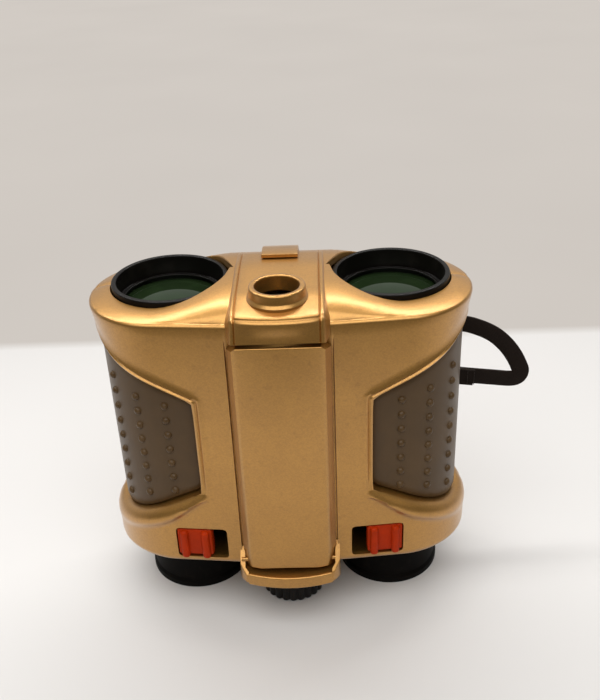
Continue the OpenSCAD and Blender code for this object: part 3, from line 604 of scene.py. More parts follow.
class BodyForm:
    """The right half of the body's skin, as columns round the plan and rows up the wall."""
    # columns on the slanted front and the flat back, in mm from the middle
    front_places = (0, 6, 12.9, 14.4, 14.95, 15.1, 15.5, 15.6, 16.2, 16.5, 17.2, 18.4, 19.6, 20, 21.2, 22.6,
                    23.7, 24.3, 24.8, 25.2, 25.45, 25.7, 26, 26.4, 26.7, 28.6, 31.2, 33.4, 35.5, 36.7)
    back_places = (30, 26, 22, 19.6, 18, 16.2, 14, 11, 6, 0)
    # columns round the lobe: to the seam, on to the window's rear edge and on to the back
    lobe_steps = (22, 13, 6)
    # rows up the wall, in mm: heights by the slots, then depths below and heights above the window
    slot_heights = (23.2, 24.4, 26.6, 29.1, 31.6, 33.8, 35, 35.7)
    ledge_steps = (7.6, 6.8, 6, 5.3, 4.6, 3.9, 3.2, 2.4, 1.7, 1, 0.45, 0.12, 0)
    head_steps = (0, 0.3, 0.7, 1, 1.25, 1.5, 1.9, 2.4, 3, 5)
    # rows as shares of the way over the base, the window, the upper wall and the top
    base_shares = (1, 0.66, 0.33)
    window_shares = (0.13, 0.2577, 0.42, 0.58, 0.74, 0.87)
    cap_shares = (0.28, 0.55, 0.82)
    top_shares = (0.03, 0.09, 0.18, 0.3, 0.45, 0.62, 0.8, 0.93, 1)
    # the turn of a rounded edge, and the drop and lean of the rims' edges in mm
    quarter = tuple(math.radians(22.5 * k) for k in range(5))
    rim_edge = ((0.12, 0.12), (0.4, 0.25), (2.4, 0.25))
    # the bead's height as shares of its rise, by the distance from the window in mm
    bead_line = ((0, -0.3), (0.3, 0.6), (0.7, 0.9), (1, 0.1), (1.25, -0.5), (1.5, 0.3), (1.9, 1),
                 (2.4, 0.6), (3, 0))
    bead_w = 3 * MM
    bead_fade = 5.5 * MM
    # turns round the lobe, in degrees, over which the form of the sides comes in and goes out again
    side_in = (20, 75)
    side_out = (125, 165)
    # depth in mm below the window at which the ledge's brow starts to turn in
    brow = 4
    # the ledge's depth at its ends as a share of the full one, and where it grows, inside the window's edge
    ledge_end = 0.45
    ledge_grow = (-1 * MM, 12 * MM)
    # the share of the ledge's rise that goes at the sides, and how far short of the grip it turns in
    ledge_flat = 0.85
    ledge_short = 0.4 * MM
    # the runs over which the ledge starts to turn in, inside the window, and comes to a point, beside it
    turn_run = 8 * MM
    point_run = 2.6 * MM
    # places in mm over which the rows by the slots become shares of the band, and how much they take up
    warp_places = (38, 47)
    warp_share = 0.88
    # places in mm from the middle between which the hump falls away, and the power of its arch
    hump_places = (14, 38)
    hump_power = 4
    base_edge = 2.6 * MM
    crease_edge = 1.2 * MM
    shoulder_w = 6 * MM
    # how far below the crease the upper wall starts to draw in
    draw = 12 * MM
    rim_hole = RIM.radius + 0.5 * MM
    barrel_hole = 14.2 * MM
    barrel_seam = 19.6 * MM
    seam_groove = 0.18 * MM
    # the groove beside the panel: its sides, and its end below the crease
    groove_sides = (15 * MM, 15.55 * MM)
    groove_end = 6 * MM

    def __init__(self, sizes):
        self.s = sizes
        slant = sizes.front_slant
        self.centre = Vector((sizes.lobe_x, sizes.lobe_y))
        self.tip = self.on_lobe(slant)
        self.rear_y = sizes.lobe_y + sizes.lobe_r
        self.front_y = self.tip.y - (self.tip.x - sizes.spine_half) * math.tan(slant)
        self.seam_angle = math.acos((sizes.lobe_y - AXIS_Y) / sizes.lobe_r)
        self.rear_angle = math.pi - math.asin((sizes.window_rear - sizes.lobe_x) / sizes.lobe_r)
        self.columns = self.make_columns()
        self.seam = self.column_at(self.seam_angle)
        self.labels = []
        self.rows = [self.section(i) for i in range(len(self.columns))]

    def on_lobe(self, angle):
        return self.centre + Vector((math.sin(angle), -math.cos(angle))) * self.s.lobe_r

    def make_columns(self):
        s = self.s
        slant_out = (math.sin(s.front_slant), -math.cos(s.front_slant))
        line = []
        for place in self.front_places:
            x = place * MM
            on_spine = x <= s.spine_half
            y = self.front_y if on_spine else self.front_y + (x - s.spine_half) * math.tan(s.front_slant)
            line.append(Column((x, y), (0, -1) if on_spine else slant_out, 0))
        turns = (s.front_slant, self.seam_angle, self.rear_angle, math.pi)
        for start, end, steps in zip(turns, turns[1:], self.lobe_steps):
            for k in range(steps):
                angle = start + (end - start) * k / steps
                line.append(Column(self.on_lobe(angle), (math.sin(angle), -math.cos(angle)), angle))
        line.append(Column((s.lobe_x, self.rear_y), (0, 1), math.pi))
        for place in self.back_places:
            line.append(Column((place * MM, self.rear_y), (0, 1), math.pi))
        return line

    def column_at(self, angle):
        """Index of the first column at a turn round the lobe."""
        return next(i for i, c in enumerate(self.columns) if abs(c.angle - angle) < TINY)

    def window_rows(self):
        """Index of the rows at the lower and the upper edge of the grip window."""
        return (self.labels.index("window") - 1, self.labels.index("head"))

    def window_limits(self, column):
        """Lower and upper edge of the grip window at a column."""
        s = self.s
        inner = s.window_in if column.angle < math.pi / 2 else s.window_rear
        run = max(column.place.x, inner) - s.window_in
        return (s.window_foot - run * math.tan(s.foot_slope), s.window_head + run * math.tan(s.head_slope))

    def past_window(self, column):
        """How far a column lies beside the grip window, along the wall."""
        if column.angle < math.pi / 2:
            return max(self.s.window_in - column.place.x, 0)
        if column.angle <= self.rear_angle:
            return 0
        turn_past = (column.angle - self.rear_angle) * self.s.lobe_r
        return turn_past + max(self.s.lobe_x - column.place.x, 0) * (column.angle >= math.pi)

    def side(self, column):
        """1 at the sides of the lobes and 0 at the front and back."""
        angle = math.degrees(column.angle)
        return ease(*self.side_in, angle) * (1 - ease(*self.side_out, angle))

    def bead(self, distance):
        """Height of the bead at a distance from the window's edge."""
        return along(self.bead_line, distance / MM) * self.s.bead_rise

    def in_groove(self, column):
        """Whether a column runs in the groove beside the pop-up panel."""
        return column.angle < math.pi / 2 and self.groove_sides[0] < column.place.x < self.groove_sides[1]

    def inside(self, column):
        """How far a column lies inside the grip window's upright edge."""
        return column.place.x - (self.s.window_in if column.angle < math.pi / 2 else self.s.window_rear)

    def ledge(self, step, column):
        """Rise of the ledge at a depth in mm below the window: it swells out to its brow and rounds back
        over it to the grip, and it narrows to a point at its ends."""
        inside = self.inside(column)
        side = self.side(column)
        grown = ease(*self.ledge_grow, inside)
        deep = self.ledge_steps[0] * (self.ledge_end + (1 - self.ledge_end) * grown)
        swell = ease(0, deep / 2, deep - step)
        past = 1 - min(step / self.brow, 1)
        rise = self.s.ledge_rise * (1 - self.ledge_flat * side)
        back = self.s.grip_sink - self.ledge_short + rise + self.s.band_out * side
        full = ease(0, self.turn_run, inside)
        point = (1 - ease(0, self.point_run, self.past_window(column))) * (1 - past * (1 - full))
        return rise * swell * point - back * (1 - math.sqrt(1 - past ** 2)) * full

    def section(self, i):
        """Points up one column from the hole in the base to the hole in the top."""
        s = self.s
        column = self.columns[i]
        side = self.side(column)
        foot, head = self.window_limits(column)
        beside = self.past_window(column)
        near = 1 - ease(0, self.bead_fade, beside)
        groove = self.seam_groove if i == self.seam else 0
        band = s.band_out * side
        points = []

        def add(label, rise, z):
            beside_panel = s.panel_groove * self.in_groove(column) * (z < s.crease_z - self.groove_end)
            points.append((label, column.at(rise - groove - beside_panel, z)))

        edge = self.base_edge
        inner = column.at(band - edge, s.base_z)
        hole = self.hole_point(column, self.barrel_hole, self.barrel_seam)
        for share in self.base_shares:
            points.append(("base", self.between(inner, hole, share, s.base_z)))
        for angle in self.quarter:
            add("edge", band - edge + edge * math.sin(angle), s.base_z + edge - edge * math.cos(angle))
        start = s.base_z + edge
        warp = ease(*self.warp_places, column.place.x / MM) if column.angle < math.pi / 2 else 1
        reach = foot - self.ledge_steps[0] * MM - start
        for height in self.slot_heights:
            level = height * MM
            share = (level - start) / (self.slot_heights[-1] * MM - start) * self.warp_share
            add("band", band, level + (start + reach * share - level) * warp)
        for step in self.ledge_steps:
            add("ledge", band + self.ledge(step, column), foot - step * MM)
        taper = s.cap_taper * side
        for share in self.window_shares:
            z = foot + (head - foot) * share
            add("window", self.bead(beside) if beside < self.bead_w else 0, z)
        for step in self.head_steps:
            z = head + step * MM
            rise = self.bead(math.hypot(beside, step * MM)) * near
            add("head", rise - taper * min((s.crease_z - z) / self.draw, 1), z)
        low = head + self.head_steps[-1] * MM
        top = s.crease_z - self.crease_edge
        for share in self.cap_shares:
            z = low + (top - low) * share
            add("cap", -taper * min((s.crease_z - z) / self.draw, 1), z)
        for angle in self.quarter:
            inset = -taper * self.crease_edge / self.draw * (1 - angle / self.quarter[-1])
            add("crease", inset - self.crease_edge * (1 - math.cos(angle)),
                top + self.crease_edge * math.sin(angle))
        shelf = column.at(-self.crease_edge - groove, s.crease_z)
        hole = self.hole_point(column, self.rim_hole, AXIS_X - self.rim_hole)
        for share in self.top_shares:
            point = self.between(shelf, hole, share, 0)
            points.append(("top", (point[0], point[1], self.top_z(point, share, shelf, hole) - groove)))
        last = Vector(points[-1][1])
        inward = Vector((AXIS_X, AXIS_Y, last.z)) - last
        inward = inward.normalized() if self.is_round(column) else Vector((0, 0, 0))
        for drop, lean in self.rim_edge:
            lip = last + inward * (lean * MM) - Vector((0, 0, drop * MM))
            points.append(("rim", tuple(lip)))
        self.labels = [label for label, point in points]
        return [point for label, point in points]

    def is_round(self, column):
        """Whether a column runs to the rim's hole and not to the seam between the lobes."""
        return column.place.x > AXIS_X - self.rim_hole + 0.01 * MM

    def hole_point(self, column, radius, inner):
        """Where a column ends on a round hole about the optical axis, or on the seam beside it."""
        centre = Vector((AXIS_X, AXIS_Y))
        x = column.place.x
        if x <= inner + 0.01 * MM:
            return (x, AXIS_Y)
        if self.s.front_slant < column.angle < math.pi:
            point = centre + (column.place - centre).normalized() * radius
            return (point.x, point.y)
        anchor = self.tip if column.angle < math.pi / 2 else Vector((self.s.lobe_x, self.rear_y))
        target = centre.x + (anchor - centre).normalized().x * radius
        x = inner + (x - inner) / (anchor.x - inner) * (target - inner)
        depth = math.sqrt(max(radius ** 2 - (x - centre.x) ** 2, 0))
        return (x, centre.y - depth if column.angle < math.pi / 2 else centre.y + depth)

    @staticmethod
    def between(start, end, share, z):
        return (start[0] + (end[0] - start[0]) * share, start[1] + (end[1] - start[1]) * share, z)

    def top_z(self, point, share, shelf, hole):
        """Height of the top: a shoulder inside the crease, and a hump towards the middle."""
        s = self.s
        inside = share * math.hypot(shelf[0] - hole[0], shelf[1] - hole[1])
        shoulder = s.shoulder_rise * (1 - (1 - min(inside / self.shoulder_w, 1)) ** 2)
        x, y = point[0], point[1]
        beyond = max(x - s.lobe_x, 0)
        chord = math.sqrt(max(s.lobe_r ** 2 - beyond ** 2, 0))
        if y < AXIS_Y:
            front = self.front_y + max(x - s.spine_half, 0) * math.tan(s.front_slant)
            edge = front if x < self.tip.x else s.lobe_y - chord
        else:
            edge = s.lobe_y + chord
        depth = min(max((y - edge) / (AXIS_Y - edge), 0), 1)
        arch = 1 - (1 - depth) ** self.hump_power
        across = 1 - ease(*self.hump_places, x / MM)
        return s.crease_z + shoulder + (s.hump_rise - s.shoulder_rise) * across * arch

    def sheet(self, first, last):
        """The skin between two columns, as rows of points."""
        return [[self.rows[i][k] for i in range(first, last + 1)] for k in range(len(self.labels))]

    def nearest(self, place, front=True):
        """Index of the column at a sideways place on the front or the back."""
        picks = [i for i, c in enumerate(self.columns) if (c.angle < math.pi / 2) == front]
        return min(picks, key=lambda i: abs(self.columns[i].place.x - place))

    def row_at(self, i, z, label):
        """Index of the row with a label whose point on a column lies nearest a height."""
        picks = [k for k, name in enumerate(self.labels) if name == label]
        return min(picks, key=lambda k: abs(self.rows[i][k][2] - z))


def open_panels(obj, form, first, holes):
    """Takes grid faces out of a skin and turns each opening's edge inwards as a wall.
    A hole is (first column, last column, first row, last row, depth of its wall, rounding of its corners),
    and the rounding is the share of a grid step that a corner moves in by."""
    wide = round(len(obj.data.vertices) / len(form.labels))
    mesh = bmesh.new()
    mesh.from_mesh(obj.data)
    label = mesh.verts.layers.int.new("column")
    grid = list(mesh.verts)
    for k, vert in enumerate(grid):
        vert[label] = first + k % wide
    for left, right, low, high, depth, rounding in holes:
        inside = {grid[row * wide + column - first] for row in range(low, high + 1)
                  for column in range(left, right + 1)}
        gone = [f for f in mesh.faces if inside.issuperset(f.verts)]
        ring = {e for f in gone for e in f.edges}
        bmesh.ops.delete(mesh, geom=gone, context="FACES_ONLY")
        if depth:
            for row, next_row in ((low, low + 1), (high, high - 1)):
                for column, next_column in ((left, left + 1), (right, right - 1)):
                    corner = grid[row * wide + column - first]
                    inner = grid[next_row * wide + next_column - first]
                    if column - first not in (0, wide - 1):
                        corner.co += (inner.co - corner.co) * rounding
            ring = [e for e in ring if e.is_boundary]
            made = bmesh.ops.extrude_edge_only(mesh, edges=ring)["geom"]
            for vert in (g for g in made if isinstance(g, bmesh.types.BMVert)):
                out = form.columns[vert[label]].out
                vert.co.x -= out.x * depth
                vert.co.y -= out.y * depth
    mesh.verts.layers.int.remove(label)
    mesh.to_mesh(obj.data)
    mesh.free()


def whole_skin(form, first, last, holes):
    """A closed shell of both halves of the body between two columns."""
    obj = surface(form.sheet(first, last))
    open_panels(obj, form, first, holes)
    with editing(obj):
        bpy.ops.mesh.delete_loose()
    modify(obj, "MIRROR", use_axis=(True, False, False), use_mirror_merge=True, merge_threshold=0.01 * MM)
    merge(obj, 0.005 * MM)
    modify(obj, "SOLIDIFY", thickness=form.s.wall, offset=-1, use_even_offset=False, use_rim=True)
    return obj


class PieceOperator(bpy.types.Operator):
    """Makes a group of like pieces."""
    bl_idname = "toy_binoculars.piece"
    bl_label = "Piece"
    bl_options = {"REGISTER", "UNDO"}

    def execute(self, context):
        self.make(context.scene.toy_sizes)
        return {"FINISHED"}

    def make(self, sizes):
        raise NotImplementedError("each piece says how it is made")


class MakeStage(PieceOperator):
    """Sets up the camera, the table, the wall and the lights"""
    bl_idname = "toy_binoculars.stage"
    bl_label = "Stage"
    eye = (12.524 * MM, AXIS_Y - 245.869 * MM, 221.202 * MM)
    pitch = math.radians(29.106)
    yaw = math.radians(1.722)
    roll = math.radians(2.507)
    focal_px = 878.8
    image_h = 700
    wall_y = AXIS_Y + 164 * MM
    # half width of the table, and its near and far ends
    table_half = 2.0
    table_ends = (-0.2, 2.4)
    # each lamp's name, place, aim, width, depth and power
    lamps = (("back", (-0.02, 0.22, 0.48), (0, -0.06, 0.10), 0.80, 0.05, 2.2),
             ("ceiling", (-0.02, -0.30, 0.54), (0, -0.16, 0), 0.80, 0.50, 3.2))
    lamp_tone = (1.0, 0.985, 0.965)
    room_tone = (1.0, 0.975, 0.95, 1)
    # the room's light by direction along Y: dim in front of the object and paler behind it
    room_levels = {"From Min": -0.3, "From Max": 0.6, "To Min": 0.12, "To Max": 0.50}

    def make(self, sizes):
        scene = bpy.context.scene
        scene.view_settings.view_transform = "Standard"
        self.camera(scene)
        self.backdrop()
        self.lights(scene)
        self.room(scene)

    def camera(self, scene):
        lens = bpy.data.cameras.new("camera")
        lens.sensor_fit = "VERTICAL"
        lens.sensor_height = 24
        lens.lens = lens.sensor_height * self.focal_px / self.image_h
        lens.clip_start = 0.01
        camera = bpy.data.objects.new("camera", lens)
        scene.collection.objects.link(camera)
        look = Matrix.Rotation(self.yaw, 3, "Z") @ Matrix.Rotation(math.pi / 2 - self.pitch, 3, "X")
        look = look @ Matrix.Rotation(-self.roll, 3, "Z")
        camera.matrix_world = Matrix.Translation(self.eye) @ look.to_4x4()
        scene.camera = camera

    def backdrop(self):
        half = self.table_half
        near, far = self.table_ends
        obj = surface([[(x, y, 0) for y in (near, 0, self.wall_y, far)] for x in (half, 0, -half)])
        obj.name = "backdrop"
        obj.data.materials.append(table_and_wall())

    def lights(self, scene):
        for name, place, aim, wide, deep, power in self.lamps:
            lamp = bpy.data.lights.new(name, "AREA")
            lamp.shape = "RECTANGLE"
            lamp.size = wide
            lamp.size_y = deep
            lamp.energy = power
            lamp.color = self.lamp_tone
            obj = bpy.data.objects.new(name, lamp)
            scene.collection.objects.link(obj)
            obj.location = place
            obj.rotation_euler = (Vector(aim) - Vector(place)).to_track_quat("-Z", "Y").to_euler()

    def room(self, scene):
        """A plain room, paler behind the object than in front of it."""
        world = bpy.data.worlds.new("room")
        scene.world = world
        world.use_nodes = True
        nodes = world.node_tree.nodes
        links = world.node_tree.links
        place = nodes.new("ShaderNodeTexCoord")
        split = nodes.new("ShaderNodeSeparateXYZ")
        blend = nodes.new("ShaderNodeMapRange")
        for name, level in self.room_levels.items():
            blend.inputs[name].default_value = level
        links.new(place.outputs["Generated"], split.inputs["Vector"])
        links.new(split.outputs["Y"], blend.inputs["Value"])
        sky = nodes["Background"]
        sky.inputs["Color"].default_value = self.room_tone
        links.new(blend.outputs["Result"], sky.inputs["Strength"])


@finish
def table_and_wall(job, tint):
    """Pale table, and beyond its far edge the tone of the wall."""
    beyond = job.node("ShaderNodeSeparateXYZ", {}, {"Vector": job.coords()}, "Y")
    far = job.spread(beyond, MakeStage.wall_y - 4 * MM, MakeStage.wall_y + 5 * MM)
    cloud = job.noise(5, 2)
    table = job.mix(cloud, rgba(tint.floor, 0.98), rgba(tint.floor, 1.02))
    wall = job.mix(cloud, rgba(tint.wall, 0.96), rgba(tint.wall, 1.04))
    return job.done(base_color=job.mix(far, table, (0, 0, 0, 1)), roughness=0.75, specular_ior_level=0.1,
                    emission_color=job.mix(far, (0, 0, 0, 1), wall), emission_strength=1.0)


class MakeStrap(PieceOperator):
    """Makes the neck strap, its sewn end and its tie"""
    bl_idname = "toy_binoculars.strap"
    bl_label = "Neck strap"
    # routes about the optical axes, in mm, from the right lug round to the left one
    run = ((39.7, 23.3, 61.8), (45, 23, 61.6), (54, 22.6, 60.8), (63, 22.2, 59.8), (72, 22, 58.8),
           (78, 22, 58.1), (80.8, 22, 58.6), (81.9, 22.1, 60.8), (81, 22.3, 63.6), (79, 22.8, 67.4),
           (76, 23.2, 71.4), (72, 23.6, 75), (67, 24, 77.6), (61, 24.6, 79.2), (54, 25.2, 78.6),
           (48, 25.8, 74.6), (43, 26.3, 67.6), (39, 26.7, 58), (36, 27, 46), (33, 27, 33), (29, 27, 21),
           (23, 27, 11), (16, 27, 5.2), (8, 27, 3.3), (0, 27, 3.3))
    back = ((0, 27, 17.3), (-6, 27, 17.3), (-12, 27, 20), (-16.4, 27, 26), (-18.6, 27, 34), (-20.4, 27, 43),
            (-23, 26.6, 52), (-27, 25.6, 58.8), (-32, 24.4, 61.6), (-36.3, 23.4, 62))
    coil_r = 30 * MM
    coil_rise = 7 * MM
    coil_turns = 2
    coil_steps = 48
    # distances along the strap from its lug
    fold_ends = (16 * MM, 27 * MM)
    stitch_rows = (17.5 * MM, 21.5 * MM, 25.5 * MM)
    stitch_r = 0.16 * MM
    stitch_form = (1, 1.2, 2.6)
    stitches_a_row = 5
    stitch_step = 1.05 * MM
    # how far the fold and the stitches lie before the strap, in thicknesses, and the fold's sizes as shares
    fold_lift = 1.02
    stitch_lift = 1.55
    fold_w = 1.04
    fold_t = 0.96
    # the tie's room round the coil, its corners and its thickness
    tie_room = (0.9 * MM, 0.2 * MM)
    tie_corner = 0.8 * MM
    tie_t = 0.35 * MM
    # sections across the tie: the place from its middle and how far the band is drawn in there
    tie_sections = ((-1.6 * MM, 0.25 * MM), (-1.3 * MM, 0), (1.3 * MM, 0), (1.6 * MM, 0.25 * MM))

    def make(self, sizes):
        run = self.placed(self.run)
        back = self.placed(self.back)
        coil_start = run[-1][0]
        route = self.softened(run)[:-1] + self.coil(coil_start) + self.softened(back)[1:]
        points = [place for place, face in route]
        strap = self.tape(route, sizes.strap_w, sizes.strap_t)
        drop_in("neck_strap", strap, strap_webbing(), "housing", "webbing",
                "strap_run", "strap_coil", "strap_return")
        sewn = self.sewn_end(route, sizes)
        tie = self.tie(coil_start, sizes)
        stitches = self.stitches(route, sizes)
        total = sum((b - a).length for a, b in zip(points, points[1:]))

    def placed(self, points):
        """Places along a stretch of the strap, each with the way that its flat side faces."""
        return [(Vector((x * MM, AXIS_Y + y * MM, z * MM)), Vector((0, -1, 0))) for x, y, z in points]

    def softened(self, route, steps=4):
        """A smooth line through the points of a route."""
        line = []
        for i in range(len(route) - 1):
            p0 = route[max(i - 1, 0)][0]
            p1, face = route[i]
            p2 = route[i + 1][0]
            p3 = route[min(i + 2, len(route) - 1)][0]
            for k in range(steps):
                t = k / steps
                bend = (p2 - p0) * t + (2 * p0 - 5 * p1 + 4 * p2 - p3) * t ** 2
                bend += (3 * p1 - p0 - 3 * p2 + p3) * t ** 3
                line.append((p1 + bend / 2, face))
        line.append(route[-1])
        return line

    def coil(self, start):
        """The turns behind the body, one above the other."""
        line = []
        for k in range(self.coil_turns * self.coil_steps + 1):
            angle = 2 * math.pi * k / self.coil_steps
            shift = Vector((-math.sin(angle), 1 - math.cos(angle), 0)) * self.coil_r
            shift.z = self.coil_rise * k / self.coil_steps
            line.append((start + shift, Vector((-math.sin(angle), -math.cos(angle), 0))))
        return line

    def walked(self, route):
        """Each point of a route after the first, with its distance along the strap and its facing."""
        run = 0.0
        for before, (place, face) in zip(route, route[1:]):
            run += (place - before[0]).length
            yield run, place, face

    def tape(self, route, width, thick):
        """A flat band with rounded edges along a route, with its length and width as its map."""
        half_w = width / 2
        half_t = thick / 2
        corners = [(-half_w, -half_t), (half_w, -half_t), (half_w, half_t), (-half_w, half_t)]
        shape = rounded(corners, half_t * 0.85, 2)
        rows = []
        for i, (point, face) in enumerate(route):
            ahead = route[min(i + 1, len(route) - 1)][0] - route[max(i - 1, 0)][0]
            ahead.normalize()
            across = ahead.cross(face).normalized()
            out = across.cross(ahead).normalized()
            rows.append([tuple(point + across * a + out * b) for a, b in shape + shape[:1]])
        runs = [0.0] + [run for run, point, face in self.walked(route)]
        obj = surface(rows)
        self.map_tape(obj, runs, [a for a, b in shape + shape[:1]])
        with editing(obj):
            bpy.ops.mesh.remove_doubles(threshold=0.005 * MM)
            bpy.ops.mesh.select_all(action="DESELECT")
            bpy.ops.mesh.select_non_manifold()
            bpy.ops.mesh.edge_face_add()
            bpy.ops.mesh.select_all(action="SELECT")
            bpy.ops.mesh.normals_make_consistent(inside=False)
        smooth_shade(obj, 50)
        return obj

    def map_tape(self, obj, runs, places):
        """Maps a tape's points by their distance along it and their place across it."""
        chart = obj.data.uv_layers.active or obj.data.uv_layers.new(name="UVMap")
        for loop in obj.data.loops:
            row, column = divmod(loop.vertex_index, len(places))
            chart.data[loop.index].uv = (runs[row], places[column])

    def sewn_end(self, route, sizes):
        """The strap's end turned back over itself and sewn down."""
        start, end = self.fold_ends
        lift = Vector((0, sizes.strap_t * self.fold_lift, 0))
        picks = [(place - lift, face) for run, place, face in self.walked(route) if start <= run <= end]
        flap = self.tape(picks, sizes.strap_w * self.fold_w, sizes.strap_t * self.fold_t)
        return drop_in("strap_fold", flap, strap_webbing(), "housing", "webbing")

    def stitches(self, route, sizes):
        """Rows of short stitches across the folded end."""
        deselect()
        bpy.ops.mesh.primitive_uv_sphere_add(segments=8, ring_count=6, radius=self.stitch_r)
        seed = bpy.context.object
        seed.scale = self.stitch_form
        bpy.ops.object.transform_apply(scale=True)
        copies = []
        ahead = -self.stitch_lift * sizes.strap_t
        marks = list(self.stitch_rows)
        for run, place, face in self.walked(route):
            if marks and run >= marks[0]:
                marks.pop(0)
                for k in range(self.stitches_a_row):
                    lift = (k - (self.stitches_a_row - 1) / 2) * self.stitch_step
                    copies.append(copy_of(seed, place + Vector((0, ahead, lift))))
        bpy.data.objects.remove(seed, do_unlink=True)
        obj = join(*copies)
        smooth_shade(obj, 60)
        return drop_in("strap_stitches", obj, thread(), "housing", "webbing")

    def tie(self, start, sizes):
        """A band that holds the coil's turns together."""
        centre = start + Vector((0, 2 * self.coil_r, self.coil_turns * self.coil_rise / 2))
        deep = sizes.strap_t / 2 + self.tie_room[0]
        tall = self.coil_rise + sizes.strap_w / 2 + self.tie_room[1]
        outline = rounded([(-deep, -tall), (deep, -tall), (deep, tall), (-deep, tall)], self.tie_corner)
        rows = []
        for across, drawn in self.tie_sections:
            ring = [(centre.x + across, centre.y + u - math.copysign(drawn, u),
                     centre.z + v - math.copysign(drawn, v)) for u, v in outline]
            rows.append(ring + ring[:1])
        band = surface(rows)
        merge(band, 0.005 * MM)
        modify(band, "SOLIDIFY", thickness=self.tie_t, offset=-1)
        smooth_shade(band, 50)
        return drop_in("coil_tie", band, black_plastic(), "housing", "webbing")


